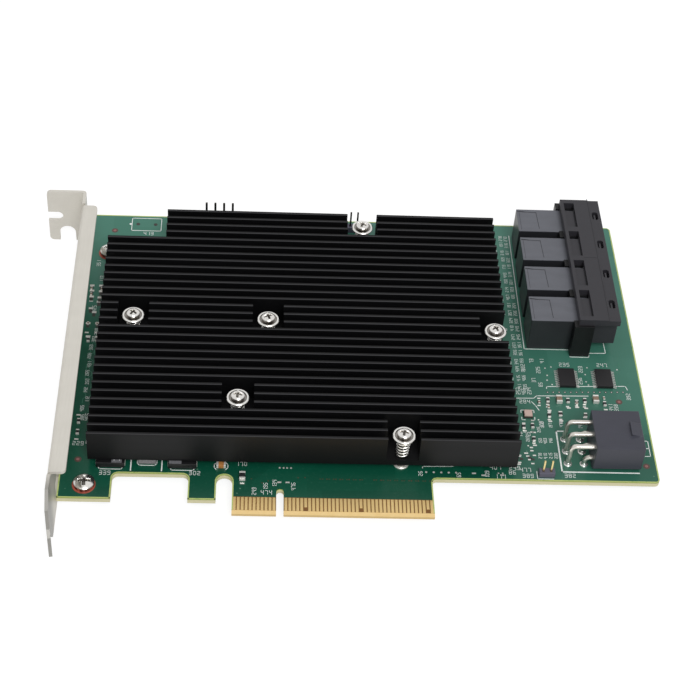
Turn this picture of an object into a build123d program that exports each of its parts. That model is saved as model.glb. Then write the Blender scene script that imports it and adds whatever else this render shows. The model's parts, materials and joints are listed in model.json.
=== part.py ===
# Host bus adapter: a full-height expansion card with a finned cooler and four internal cable ports
#
# Frame: X along the card away from the mounting bracket, Y from the edge contacts to the top
# edge, Z from the solder side to the component side. The origin is the centre of the key notch
# on the lower edge of the edge connector, in the middle of the board's thickness.

from build123d import *
from math import atan, cos, degrees, pi, radians, sin, sqrt
import os

os.makedirs("parts", exist_ok=True)

# Circuit board
board_thickness = 1.57
board_left = -56.15
board_right = 98.5
board_top = 111.15
main_edge = 12.4
tongue_left = -12.15
tongue_right = 39.15
key_width = 1.9
key_height = 8.0
relief_width = 4.1
hook_width = 7.1
hook_bottom = 4.2
cutout_width = 19.4
corner_bottom = 4.0
cutout_radius = 1.6
step_radius = 1.2
outer_radius = 1.2
bevel_height = 1.0
bevel_depth = 0.4
face = board_thickness / 2
back = -face

# Edge contacts: pitch and count of the eight-lane edge connector
contact_pitch = 1.0
contact_width = 0.7
contact_length = 4.15
contact_thickness = 0.05
contacts_before_key = 11
contacts_after_key = 38
key_to_contact = 1.5
short_contact_cut = 1.2
sense_contact_numbers = (16, 30, 47)

# Mounting bracket: folded sheet
sheet = 0.86
bend_radius = 1.1
bracket_gap = 0.05
bracket_width = 18.42
bracket_drop = 3.7
flange_width = 4.45
flange_length = 98.4
shoulder = 5.6
tail_top = 8.9
tail_width = 10.19
tail_length = 7.27
tail_corner = 1.5
tail_angle = 10
tab_level = 103.9
tab_depth = 11.43
tab_corner = 1.3
screw_slot_width = 4.6
screw_slot_depth = 5.4
screw_slot_reach = 5.3
side_slot_width = 3.1
side_slot_depth = 4.3
lug_width = 7.2
lug_length = 10.2
lug_gap = 0.4
lug_window_top = 4.0
fold_relief = 0.8
flange_corner = 1.2
vent_across = 4.3
vent_pitch = 5.6
vents_per_row = 12
vent_rows = 2
vent_inset = 7.4

# Bracket screws: pan head, through the board into the bracket's lugs
bracket_screw_x = -49.55
bracket_screw_levels = (8.4, 94.8)
bracket_screw_diameter = 3.0
bracket_head_diameter = 5.3
bracket_head_height = 1.9
bracket_screw_overrun = 0.9
screw_hole_clearance = 0.2
bracket_head_edge = 0.9

# Small round pieces are prisms with this many sides
head_sides = 16
shank_sides = 8

# Cooler: one extrusion with fins along the card
cooler_left = -49.1
cooler_right = 61.05
cooler_front = 14.9
cooler_gap = 2.2
base_thickness = 1.8
fin_count = 30
fin_thickness = 0.75
fin_pitch = 2.936
fin_height = 8.0
back_step_length = 16.2
back_step_fins = 4
pocket_width = 8.4
pocket_fins = 3

# Two controllers and a switch chip under the cooler, each between its own pair of screws
left_controller = (9.65, 77.15)
right_controller = (44.6, 36.4)
controller_screw_span = (26.7, 38.2)
switch_chip = (-25.7, 43.85)
switch_screw_span = (-28.8, 29.3)
controller_size = 23.0
controller_lid_size = 19.0
switch_size = 19.0
switch_lid_size = 15.0
substrate_height = 1.2
lid_height = 0.6

# Spring screws of the cooler
spring_screw_diameter = 2.0
spring_screw_clearance = 0.2
spring_head_diameter = 3.55
spring_head_height = 1.35
collar_diameter = 5.95
collar_thickness = 0.5
collar_height = 10.6
spring_diameter = 3.3
spring_wire = 0.42
spring_turns = 5
spring_sides = 8
standoff_diameter = 3.6
standoff_height = 1.9
standoff_stem = 2.9
spring_seat = 0.03
spring_head_edge = 0.55
back_tongue_width = 5.0

# Four-port cable connector
port_pitch = 12.2
port_count = 4
port_inset = 9.8
hood_inset = 6.1
receptacle_length = 17.0
receptacle_width = 9.45
receptacle_height = 11.0
hood_length = 11.25
hood_reach = 7.0
hood_overhang = 2.6
hood_bottom = 11.4
hood_thickness = 2.1
hood_step_length = 3.1
hood_step_drop = 0.25
window_length = 10.3
window_width = 2.9
window_inset = 0.95
window_depth = 0.9
window_well = 2.5
latch_hole_length = 3.3
latch_hole_width = 1.7
latch_hole_inset = 1.65
latch_hole_corner = 0.45
rib_length = 5.4
rib_clearance = 0.05
shell_bottom = 2.9
shell_side = 4.85
shell_wall = 0.75
shell_inset = 0.2
card_slot_height = 0.9
card_slot_width = 6.6
card_slot_depth = 2.4
card_slot_spacing = 2.8
blades_per_slot = 6
blade_pitch = 1.0
blade_width = 0.3
blade_thickness = 0.12

# Six-way power header, right angle
power_pitch = 4.2
power_columns = 3
power_front = 15.85
power_inset = 4.75
power_length = 12.65
power_width = 13.4
power_height = 8.9
power_low_row = 2.55
power_lower_chamfer = 1.1
power_back_wall = 3.0
power_cell = 3.4
power_cell_corner = 0.9
power_pin = 1.07
power_pin_inset = 3.0
power_pin_bend = 0.4
power_row_gaps = (1.9, 6.1)
power_tail = 1.4
power_ramp_width = 4.6
power_ramp_length = 3.2
power_ramp_height = 0.9
solder_foot = 1.1
solder_collar = 0.75
solder_height = 0.55

# Pin headers: square posts in a plain block
small_post = 0.5
small_pitch = 2.0
large_post = 0.64
large_pitch = 2.54
post_tail = 1.3

# Leaded logic chips
logic_length = 6.5
logic_width = 4.4
logic_height = 0.95
logic_standoff = 0.1
logic_leads_per_side = 10
logic_lead_pitch = 0.65
logic_lead_width = 0.25
logic_lead_thickness = 0.15
logic_lead_reach = 1.0
logic_lead_foot = 0.45
logic_gap = 8.3
logic_insets = (20.3, 10.1)

# Flat black capacitors in front of the cooler, and the grey inductor between them
bulk_length = 7.3
bulk_width = 4.3
bulk_height = 1.9
bulk_foot = 1.3
bulk_foot_thickness = 0.12
bulk_front = 13.9
bulk_x = (-43.4, -25.05)
inductor_length = 4.6
inductor_width = 2.4
inductor_height = 1.6
inductor_place = (-34.1, 16.6)

# Oscillator
oscillator_side = 2.5
oscillator_base = 0.45
oscillator_lid = 0.55
oscillator_rim = 0.15

# Chip parts: length over the terminals, width and height
size_small = (1.0, 0.5, 0.4)
size_medium = (1.6, 0.8, 0.6)
size_large = (2.4, 1.5, 1.1)
terminal_share = 0.22
terminal_swell = 0.03
left_capacitors = ((-53.5, 79.6), (-50.6, 79.3), (-53.4, 77.2), (-53.3, 65.6), (-50.8, 65.5))
left_resistors = ((-52.7, 59.2), (-50.3, 59.3), (-52.7, 29.4), (-52.7, 25.6))
wide_resistor = (-9.65, 11.6)
brown_capacitor = (-15.15, 15.2)

# Small parts around the logic chips: inset from the right-hand edge, drop from the chips' row
right_capacitors = ((28.8, 8.8), (18.6, 9.0), (26.4, 10.5), (10.9, 6.9))
right_resistors = ((26.4, 8.1), (20.9, 8.2), (16.3, 8.1), (11.0, 9.1), (26.6, 13.6), (23.6, 13.1),
                   (33.9, 17.8), (31.5, 17.5), (31.6, 22.2))
large_capacitors = ((23.3, 8.0), (13.3, 7.7))
oscillator_spot = (32.3, 13.4)
under_chip_pitch = 3.2
under_chip_count = 2

# Pin headers: centre, pitch, post width, block (length, width), block height and post height
# over the board; the posts run along X
headers = {
    "two_pin_header": ((68.95, 14.3), small_pitch, small_post, (4.2, 2.0), 1.75, 5.5),
    "four_pin_header": ((-18.2, 108.0), large_pitch, large_post, (10.16, 2.54), 2.54, 8.5),
    "rear_header": ((21.35, 107.0), small_pitch, small_post, (4.2, 2.0), 2.0, 7.2),
}
open_header_holes = ((-42.1, 107.45), (-37.0, 107.4))
open_header_hole = 1.0

# Values worked out from the ones above
relief_left = tongue_left - relief_width
hook_left = relief_left - hook_width
cutout_left = hook_left - cutout_width
plate_inner = board_left - bracket_gap
plate_outer = plate_inner - sheet
bracket_low = face - bracket_drop
bracket_high = bracket_low + bracket_width
bracket_middle = (bracket_low + bracket_high) / 2
slot_x = plate_outer - screw_slot_reach
cooler_length = cooler_right - cooler_left
cooler_depth = (fin_count - 1) * fin_pitch + fin_thickness
cooler_back = cooler_front + cooler_depth
cooler_middle = ((cooler_left + cooler_right) / 2, cooler_front + cooler_depth / 2)
step_depth = back_step_fins * fin_pitch
pocket_depth = pocket_fins * fin_pitch
cooler_floor = cooler_gap + base_thickness
vent_centre = (sum(bracket_screw_levels) / len(bracket_screw_levels), bracket_high - vent_inset)
hood_right = board_right - hood_inset
hood_left = hood_right - hood_length
shell_start = hood_right - hood_reach
receptacle_left = shell_start - receptacle_length
rib_start = shell_start - rib_length
port_width = 2 * (shell_side - shell_wall)
port_height = hood_bottom - shell_bottom - 2 * shell_wall
port_level = shell_bottom + shell_wall + port_height / 2
port_row = [board_top - port_inset - port_pitch * i for i in reversed(range(port_count))]
port_row_middle = (port_row[0] + port_row[-1]) / 2
shell_depth = port_row[-1] - port_row[0] + 2 * shell_side
logic_row = port_row[0] - receptacle_width / 2 - logic_gap - logic_length / 2
logic_places = [(board_right - inset, logic_row) for inset in logic_insets]
power_middle = power_front + power_width / 2
power_right = board_right - power_inset
power_left = power_right - power_length
power_row_x = [power_left - gap for gap in power_row_gaps]
power_columns_y = [power_middle + power_pitch * (i - (power_columns - 1) / 2) for i in range(power_columns)]
power_levels = (power_low_row, power_low_row + power_pitch)
power_pin_places = [(x, y) for x in power_row_x for y in power_columns_y]


def near(sketch, x, y):
    """The sketch corner that lies closest to a point."""
    return sketch.vertices().sort_by_distance((x, y))[0]


def contact_centres():
    """Places of the edge contacts along X, with the key notch left out."""
    before = [-key_to_contact - contact_pitch * i for i in reversed(range(contacts_before_key))]
    after = [key_to_contact + contact_pitch * i for i in range(contacts_after_key)]
    return before + after


def pair(centre, span):
    """The two cooler screws of a chip, at opposite corners of its hole pattern."""
    x, y = centre
    dx, dy = span[0] / 2, span[1] / 2
    return [(x + dx, y + dy), (x - dx, y - dy)]


def above(height=0.0):
    """Sketch plane at a height over the component side of the board."""
    return Plane.XY.offset(face + height)


def by_logic(*spots):
    """Places on the board of spots given from its right-hand edge and the logic chips' row."""
    return [(board_right - inset, logic_row - drop) for inset, drop in spots]


def finish(piece, name):
    """Label a finished piece and write it out."""
    piece.part.label = name
    export_step(piece.part, f"parts/{name}.step")


spring_screws = (pair(left_controller, controller_screw_span)
                 + pair(right_controller, controller_screw_span)
                 + pair(switch_chip, switch_screw_span))
bracket_screw_places = [(bracket_screw_x, y) for y in bracket_screw_levels]
back_edge_screw, _, right_edge_screw = spring_screws[:3]


def nearest_fin(y):
    """Centre of the fin closest to a place along Y."""
    last = cooler_back - fin_thickness / 2
    return last - fin_pitch * round((last - y) / fin_pitch)


def post_places(header):
    """Places of a header's posts."""
    (x, y), pitch, _, (length, _), _, _ = header
    count = round(length / pitch)
    return [(x + pitch * (i - (count - 1) / 2), y) for i in range(count)]


# Circuit board: outline with the edge connector's tongue, its key and the retention notch
with BuildPart() as circuit_board:
    with BuildSketch(Plane.XY.offset(back)) as outline:
        with BuildLine():
            Polyline(
                (board_left, corner_bottom), (cutout_left, corner_bottom), (cutout_left, main_edge),
                (hook_left, main_edge), (hook_left, hook_bottom), (tongue_left, hook_bottom),
                (tongue_left, 0), (tongue_right, 0), (tongue_right, main_edge),
                (board_right, main_edge), (board_right, board_top), (board_left, board_top),
                close=True,
            )
        make_face()
        fillet([near(outline, cutout_left, main_edge), near(outline, hook_left, main_edge)], cutout_radius)
        fillet(near(outline, tongue_right, main_edge), step_radius)
        fillet([near(outline, board_right, main_edge), near(outline, board_right, board_top),
                near(outline, board_left, board_top)], outer_radius)
        with Locations((tongue_left - relief_width / 2, 0)):
            SlotOverall(2 * main_edge, relief_width, rotation=90, mode=Mode.SUBTRACT)
        SlotOverall(2 * key_height, key_width, rotation=90, mode=Mode.SUBTRACT)
    extrude(amount=board_thickness)
    # the tongue is bevelled on both faces
    with BuildSketch(Plane.YZ.offset(tongue_left)):
        with BuildLine():
            Polyline((0, face - bevel_depth), (0, face), (bevel_height, face), close=True)
        make_face()
        mirror(about=Plane.XZ)
    extrude(amount=tongue_right - tongue_left, mode=Mode.SUBTRACT)
    with BuildSketch(Plane.XY.offset(back)):
        with Locations(*spring_screws):
            RegularPolygon(standoff_stem / 2, shank_sides)
        with Locations(*bracket_screw_places):
            RegularPolygon(bracket_screw_diameter / 2 + screw_hole_clearance, shank_sides)
        with Locations(*power_pin_places):
            Rectangle(power_pin, power_pin)
        for header in headers.values():
            with Locations(*post_places(header)):
                Rectangle(header[2], header[2])
        with Locations(*open_header_holes):
            RegularPolygon(open_header_hole / 2, shank_sides)
    extrude(amount=board_thickness, mode=Mode.SUBTRACT)
finish(circuit_board, "circuit_board")


def contact_pads(piece_plane, centres, short_ones):
    """Pads of one side of the edge connector; the short ones stop above the lower edge."""
    with BuildSketch(piece_plane) as pads:
        with Locations(*[(x, bevel_height + contact_length / 2) for x in centres]):
            Rectangle(contact_width, contact_length)
        with Locations(*[(centres[i], bevel_height) for i in short_ones]):
            Rectangle(contact_width, short_contact_cut, align=(Align.CENTER, Align.MIN), mode=Mode.SUBTRACT)
    return pads.sketch


# Edge contacts: one row of plated pads on each face
with BuildPart() as edge_contacts_front:
    extrude(contact_pads(above(), contact_centres(), sense_contact_numbers), amount=contact_thickness)
finish(edge_contacts_front, "edge_contacts_front")

with BuildPart() as edge_contacts_back:
    pads_plane = Plane.XY.offset(back - contact_thickness)
    extrude(contact_pads(pads_plane, contact_centres(), sense_contact_numbers[:1]), amount=contact_thickness)
finish(edge_contacts_back, "edge_contacts_back")


# Bracket: a plate with the flange, tab and tail folded from it, and two lugs lanced out of it
with BuildPart() as bracket:
    with BuildSketch(Plane.YZ.offset(plate_outer)):
        with BuildLine():
            Polyline(
                (tab_level - bend_radius, bracket_low), (-shoulder, bracket_low),
                (-tail_top, bracket_middle - tail_width / 2), (-tail_top, bracket_middle + tail_width / 2),
                (-shoulder, bracket_high), (tab_level - bend_radius, bracket_high), close=True,
            )
        make_face()
        # the flange takes the upper edge, with a relief at each end of its fold
        with Locations((flange_length / 2, bracket_high)):
            Rectangle(flange_length + 2 * fold_relief, 2 * bend_radius, mode=Mode.SUBTRACT)
    extrude(amount=sheet)
    with BuildSketch(Plane.XZ.offset(-flange_length)) as fold:
        with BuildLine():
            Polyline(
                (plate_outer, bracket_high - 2 * bend_radius), (plate_outer, bracket_high),
                (plate_outer + flange_width, bracket_high),
                (plate_outer + flange_width, bracket_high - sheet),
                (plate_inner, bracket_high - sheet), (plate_inner, bracket_high - 2 * bend_radius),
                close=True,
            )
        make_face()
        fillet(near(fold, plate_outer, bracket_high), bend_radius)
        fillet(near(fold, plate_inner, bracket_high - sheet), (bend_radius - sheet) * 0.9)
    extrude(amount=flange_length)
    fillet(bracket.edges().filter_by(Axis.Z).group_by(Axis.X)[-1], flange_corner)
    # the tab is folded outward and carries the notch for the chassis screw
    with BuildSketch(Plane.XY.offset(bracket_low)) as tab_fold:
        with BuildLine():
            Polyline(
                (plate_inner, tab_level - bend_radius), (plate_inner, tab_level + sheet),
                (plate_inner - tab_depth, tab_level + sheet), (plate_inner - tab_depth, tab_level),
                (plate_outer, tab_level), (plate_outer, tab_level - bend_radius), close=True,
            )
        make_face()
        fillet(near(tab_fold, plate_inner, tab_level + sheet), bend_radius)
        fillet(near(tab_fold, plate_outer, tab_level), (bend_radius - sheet) * 0.9)
    extrude(amount=bracket_width)
    fillet(bracket.edges().filter_by(Axis.Y).group_by(Axis.X)[0], tab_corner)
    with BuildSketch(Plane.XZ.offset(-tab_level)):
        with Locations((slot_x, bracket_low)):
            SlotOverall(2 * screw_slot_depth, screw_slot_width, rotation=90)
        with Locations((plate_inner - tab_depth, bracket_middle)):
            SlotOverall(2 * side_slot_depth, side_slot_width)
    extrude(amount=-sheet, mode=Mode.SUBTRACT)
    # the tail leans in under the card
    lean = tail_length * sin(radians(tail_angle))
    drop = tail_length * cos(radians(tail_angle))
    thick_x = sheet * cos(radians(tail_angle))
    thick_y = sheet * sin(radians(tail_angle))
    with BuildSketch(Plane.XY.offset(bracket_middle - tail_width / 2)):
        with BuildLine():
            Polyline(
                (plate_outer, -tail_top), (plate_inner, -tail_top),
                (plate_outer + lean + thick_x, -tail_top - drop + thick_y),
                (plate_outer + lean, -tail_top - drop), close=True,
            )
        make_face()
    extrude(amount=tail_width)
    tail_end = bracket.faces().sort_by(Axis.Y)[0]
    chamfer(tail_end.edges().sort_by(SortBy.LENGTH)[:2], tail_corner)
    # lugs under the board, each with a threaded hole and the window that it leaves in the plate
    with BuildSketch(Plane.YZ.offset(plate_outer)):
        with Locations(*[(y, back - sheet) for y in bracket_screw_levels]):
            Rectangle(lug_width + 2 * lug_gap, lug_window_top + board_thickness + sheet,
                      align=(Align.CENTER, Align.MIN))
    extrude(amount=sheet, mode=Mode.SUBTRACT)
    with BuildSketch(Plane.XY.offset(back - sheet)):
        with Locations(*[(plate_outer, y) for y in bracket_screw_levels]):
            Rectangle(lug_length, lug_width, align=(Align.MIN, Align.CENTER))
        with Locations(*bracket_screw_places):
            RegularPolygon(bracket_screw_diameter / 2, shank_sides, mode=Mode.SUBTRACT)
    extrude(amount=sheet)
    with BuildSketch(Plane.YZ.offset(plate_outer)):
        with Locations(vent_centre):
            with HexLocations(vent_pitch / 2, vents_per_row, vent_rows, major_radius=False):
                RegularPolygon(vent_across / 2, side_count=6, major_radius=False, rotation=30)
    extrude(amount=sheet, mode=Mode.SUBTRACT)
finish(bracket, "bracket")


# Bracket screws: pan heads on the component side, shanks through the board into the lugs
with BuildPart() as bracket_screws:
    with BuildSketch(above()):
        with Locations(*bracket_screw_places):
            RegularPolygon(bracket_head_diameter / 2, head_sides)
    extrude(amount=bracket_head_height)
    chamfer(bracket_screws.edges().group_by(Axis.Z)[-1], bracket_head_edge)
    with BuildSketch(above()):
        with Locations(*bracket_screw_places):
            RegularPolygon(bracket_screw_diameter / 2, shank_sides)
    extrude(amount=-(board_thickness + sheet + bracket_screw_overrun))
finish(bracket_screws, "bracket_screws")


# Cooler: one extrusion with thirty fins and a clearing around each spring screw
with BuildPart() as heatsink:
    with BuildSketch(above(cooler_gap)):
        with Locations(cooler_middle):
            Rectangle(cooler_length, cooler_depth)
        with Locations((cooler_left, cooler_back)):
            Rectangle(back_step_length, step_depth, align=(Align.MIN, Align.MAX), mode=Mode.SUBTRACT)
        # the back edge is notched, and its screw stands on a tongue left in the notch
        with Locations((back_edge_screw[0], cooler_back)):
            Rectangle(pocket_width, pocket_depth, align=(Align.CENTER, Align.MAX), mode=Mode.SUBTRACT)
            Rectangle(back_tongue_width, pocket_depth, align=(Align.CENTER, Align.MAX))
        with Locations(*spring_screws):
            RegularPolygon(spring_screw_diameter / 2 + spring_screw_clearance, shank_sides,
                           mode=Mode.SUBTRACT)
    extrude(amount=base_thickness)
    with BuildSketch(above(cooler_floor)):
        with Locations(cooler_middle):
            with GridLocations(fin_pitch, fin_pitch, 1, fin_count):
                Rectangle(cooler_length, fin_thickness)
        with Locations((cooler_left, cooler_back)):
            Rectangle(back_step_length, step_depth, align=(Align.MIN, Align.MAX), mode=Mode.SUBTRACT)
        with Locations(*[(x, nearest_fin(y)) for x, y in spring_screws]):
            Rectangle(pocket_width, pocket_depth, mode=Mode.SUBTRACT)
        # the last clearing is open to the right-hand edge
        with Locations((right_edge_screw[0], nearest_fin(right_edge_screw[1]))):
            Rectangle(pocket_width, pocket_depth, align=(Align.MIN, Align.CENTER), mode=Mode.SUBTRACT)
    extrude(amount=fin_height)
finish(heatsink, "heatsink")

# Standoffs: riveted into the board, bored for the spring screws
with BuildPart() as standoffs:
    with BuildSketch(above()):
        with Locations(*spring_screws):
            RegularPolygon(standoff_diameter / 2, head_sides)
    extrude(amount=standoff_height)
    with BuildSketch(Plane.XY.offset(back)):
        with Locations(*spring_screws):
            RegularPolygon(standoff_stem / 2, shank_sides)
    extrude(amount=board_thickness)
    with BuildSketch(Plane.XY.offset(back)):
        with Locations(*spring_screws):
            RegularPolygon(spring_screw_diameter / 2, shank_sides)
    extrude(amount=board_thickness + standoff_height, mode=Mode.SUBTRACT)
finish(standoffs, "standoffs")

# Spring screws: domed heads over the collars, shanks down into the standoffs
with BuildPart() as heatsink_screws:
    with BuildSketch(above(collar_height + collar_thickness)):
        with Locations(*spring_screws):
            RegularPolygon(spring_head_diameter / 2, head_sides)
    extrude(amount=spring_head_height)
    chamfer(heatsink_screws.edges().group_by(Axis.Z)[-1], spring_head_edge)
    with BuildSketch(above()):
        with Locations(*spring_screws):
            RegularPolygon(spring_screw_diameter / 2, shank_sides)
    extrude(amount=collar_height + collar_thickness)
finish(heatsink_screws, "heatsink_screws")

with BuildPart() as spring_collars:
    with BuildSketch(above(collar_height)):
        with Locations(*spring_screws):
            RegularPolygon(collar_diameter / 2, head_sides)
            RegularPolygon(spring_screw_diameter / 2, shank_sides, mode=Mode.SUBTRACT)
    extrude(amount=collar_thickness)
finish(spring_collars, "spring_collars")

# Springs: compressed between the cooler's base and the collars, with straight runs of square wire
coil_radius = (spring_diameter - spring_wire) / 2
coil_start = cooler_floor + spring_wire / 2 + spring_seat
coil_height = collar_height - cooler_floor - spring_wire - 2 * spring_seat
coil_runs = spring_turns * spring_sides
coil_angles = [2 * pi * i / spring_sides for i in range(coil_runs + 1)]
with BuildPart() as heatsink_springs:
    for x, y in spring_screws:
        with BuildLine(above(coil_start).shift_origin((x, y, face + coil_start))) as coil:
            Polyline(*[(coil_radius * cos(angle), coil_radius * sin(angle), coil_height * i / coil_runs)
                       for i, angle in enumerate(coil_angles)])
        with BuildSketch(Plane(origin=coil.line @ 0, x_dir=(1, 0, 0), z_dir=coil.line % 0)):
            Rectangle(spring_wire, spring_wire)
        sweep(path=coil.line, transition=Transition.RIGHT)
finish(heatsink_springs, "heatsink_springs")


def chip_layer(centre, side, bottom, height):
    """Square layer of a chip package, in the part being built."""
    with BuildSketch(above(bottom)) as layer:
        with Locations(centre):
            Rectangle(side, side)
    extrude(layer.sketch, amount=height)


# Chips under the cooler: package, lid and the pad that carries the heat into the base
chips = (
    ("left_controller", left_controller, controller_size, controller_lid_size),
    ("right_controller", right_controller, controller_size, controller_lid_size),
    ("switch_chip", switch_chip, switch_size, switch_lid_size),
)
for name, centre, side, lid_side in chips:
    with BuildPart() as package:
        chip_layer(centre, side, 0, substrate_height)
    finish(package, f"{name}_package")
    with BuildPart() as lid:
        chip_layer(centre, lid_side, substrate_height, lid_height)
    finish(lid, f"{name}_lid")

pad_bottom = substrate_height + lid_height
with BuildPart() as thermal_pads:
    for _, centre, _, lid_side in chips:
        chip_layer(centre, lid_side, pad_bottom, cooler_gap - pad_bottom)
finish(thermal_pads, "thermal_pads")


# Cable connector: a receptacle behind each port, open to the right with two card slots
def card_slots(y):
    """Centres of the two card slots of a port, in the plane of its face."""
    return [(y, face + port_level + side * card_slot_spacing / 2) for side in (-1, 1)]


for number, y in enumerate(port_row, start=1):
    with BuildPart() as receptacle:
        with BuildSketch(above()):
            with Locations((receptacle_left, y)):
                Rectangle(receptacle_length, receptacle_width, align=(Align.MIN, Align.CENTER))
        extrude(amount=receptacle_height)
        with BuildSketch(Plane.YZ.offset(shell_start)):
            with Locations(*card_slots(y)):
                Rectangle(card_slot_width, card_slot_height)
        extrude(amount=-card_slot_depth, mode=Mode.SUBTRACT)
    finish(receptacle, f"receptacle_{number}")

with BuildPart() as receptacle_contacts:
    with BuildSketch(Plane.YZ.offset(shell_start - card_slot_depth)):
        for y in port_row:
            with Locations(*[(at, z - card_slot_height / 2) for at, z in card_slots(y)]):
                with GridLocations(blade_pitch, blade_pitch, blades_per_slot, 1):
                    Rectangle(blade_width, blade_thickness, align=(Align.CENTER, Align.MIN))
    extrude(amount=card_slot_depth)
finish(receptacle_contacts, "receptacle_contacts")

# The frame that joins the four ports: ribs between the receptacles, port shells and the hood
with BuildPart() as port_frame:
    with BuildSketch(above()):
        with Locations((rib_start, port_row_middle)):
            with GridLocations(port_pitch, port_pitch, 1, port_count + 1):
                Rectangle(shell_start - rib_start, port_pitch - receptacle_width - 2 * rib_clearance,
                          align=(Align.MIN, Align.CENTER))
    extrude(amount=hood_bottom)
    with BuildSketch(above(shell_bottom)):
        with Locations((shell_start, port_row_middle)):
            Rectangle(hood_right - shell_inset - shell_start, shell_depth, align=(Align.MIN, Align.CENTER))
    extrude(amount=hood_bottom - shell_bottom)
    with BuildSketch(Plane.YZ.offset(shell_start)):
        with Locations(*[(y, face + port_level) for y in port_row]):
            Rectangle(port_width, port_height)
    extrude(amount=hood_right - shell_start, mode=Mode.SUBTRACT)
    with BuildSketch(above(hood_bottom)):
        with Locations((hood_left, port_row_middle)):
            Rectangle(hood_right - hood_left, shell_depth + 2 * hood_overhang - 2 * shell_wall,
                      align=(Align.MIN, Align.CENTER))
    extrude(amount=hood_thickness)
    hood_top = hood_bottom + hood_thickness
    with BuildSketch(above(hood_top)):
        with Locations((hood_right, port_row_middle)):
            Rectangle(hood_step_length, 2 * shell_depth, align=(Align.MAX, Align.CENTER))
    extrude(amount=-hood_step_drop, mode=Mode.SUBTRACT)
    with BuildSketch(above(hood_top)):
        with Locations(*[(hood_left + window_inset, y) for y in port_row]):
            Rectangle(window_width, window_length, align=(Align.MIN, Align.CENTER))
    extrude(amount=-window_depth, mode=Mode.SUBTRACT)
    with BuildSketch(above(hood_top)):
        with Locations(*[(hood_left + window_inset, y + window_length / 2) for y in port_row]):
            Rectangle(window_width, window_well, align=(Align.MIN, Align.MAX))
    extrude(amount=-hood_thickness, mode=Mode.SUBTRACT)
    with BuildSketch(above(hood_top)) as latch_holes:
        with Locations(*[(hood_right - latch_hole_inset, y) for y in port_row]):
            Rectangle(latch_hole_width, latch_hole_length)
        chamfer(latch_holes.vertices(), latch_hole_corner)
    extrude(amount=-hood_thickness, mode=Mode.SUBTRACT)
finish(port_frame, "port_frame")


# Power header: a right-angle block with six cells open to the right and a latch ramp on top
with BuildPart() as power_header_housing:
    with BuildSketch(Plane.YZ.offset(power_left)) as end:
        with Locations((power_middle, face)):
            Rectangle(power_width, power_height, align=(Align.CENTER, Align.MIN))
        chamfer(end.vertices().group_by(Axis.Y)[0], power_lower_chamfer)
    extrude(amount=power_length)
    cells = [(y, face + level) for y in power_columns_y for level in power_levels]
    with BuildSketch(Plane.YZ.offset(power_right)) as mouths:
        with Locations(*cells):
            Rectangle(power_cell, power_cell)
        chamfer(mouths.vertices(), power_cell_corner)
    extrude(amount=power_back_wall - power_length, mode=Mode.SUBTRACT)
    with BuildSketch(Plane.YZ.offset(power_left)):
        with Locations(*cells):
            Rectangle(power_pin, power_pin)
    extrude(amount=power_back_wall, mode=Mode.SUBTRACT)
    with BuildSketch(Plane.XZ.offset(-power_middle - power_ramp_width / 2)):
        with BuildLine():
            Polyline(
                (power_right, face + power_height), (power_right - power_ramp_length, face + power_height),
                (power_right - power_ramp_length, face + power_height + power_ramp_height), close=True,
            )
        make_face()
    extrude(amount=power_ramp_width)
finish(power_header_housing, "power_header_housing")

with BuildPart() as power_header_pins:
    for row_x, level in zip(power_row_x, power_levels):
        high = face + level + power_pin / 2
        low = high - power_pin
        tip = power_right - power_pin_inset
        side_planes = [Plane.XZ.offset(-y - power_pin / 2) for y in power_columns_y]
        with BuildSketch(Plane.XZ) as pin_side:
            with BuildLine():
                Polyline(
                    (tip, high), (row_x - power_pin / 2, high), (row_x - power_pin / 2, back - power_tail),
                    (row_x + power_pin / 2, back - power_tail), (row_x + power_pin / 2, low), (tip, low),
                    close=True,
                )
            make_face()
            # the same thickness across the bend as along the pin
            chamfer(near(pin_side, row_x - power_pin / 2, high), power_pin_bend + power_pin * (2 - sqrt(2)))
            chamfer(near(pin_side, row_x + power_pin / 2, low), power_pin_bend)
        for plane in side_planes:
            extrude(plane.from_local_coords(pin_side.sketch_local), amount=power_pin, dir=plane.z_dir)
finish(power_header_pins, "power_header_pins")

with BuildPart() as solder_joints:
    with BuildSketch(above()):
        with Locations(*power_pin_places):
            RegularPolygon(solder_foot, shank_sides)
    extrude(amount=solder_height, taper=degrees(atan((solder_foot - solder_collar) / solder_height)))
    with BuildSketch(above()):
        with Locations(*power_pin_places):
            Rectangle(power_pin, power_pin)
    extrude(amount=solder_height, mode=Mode.SUBTRACT)
finish(solder_joints, "solder_joints")


# Pin headers: a plain block and square posts through the board
for name, header in headers.items():
    centre, pitch, post, block, block_height, post_top = header
    with BuildPart() as block_part:
        with BuildSketch(above()):
            with Locations(centre):
                Rectangle(*block)
            with Locations(*post_places(header)):
                Rectangle(post, post, mode=Mode.SUBTRACT)
        extrude(amount=block_height)
    finish(block_part, f"{name}_block")
    with BuildPart() as posts:
        with BuildSketch(Plane.XY.offset(back - post_tail)):
            with Locations(*post_places(header)):
                Rectangle(post, post)
        extrude(amount=post_tail + board_thickness + post_top)
    finish(posts, f"{name}_posts")


# Logic chips: moulded bodies with gull-wing leads on both long sides
with BuildPart() as logic_packages:
    with BuildSketch(above(logic_standoff)):
        with Locations(*logic_places):
            Rectangle(logic_width, logic_length)
    extrude(amount=logic_height)
finish(logic_packages, "logic_packages")

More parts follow.
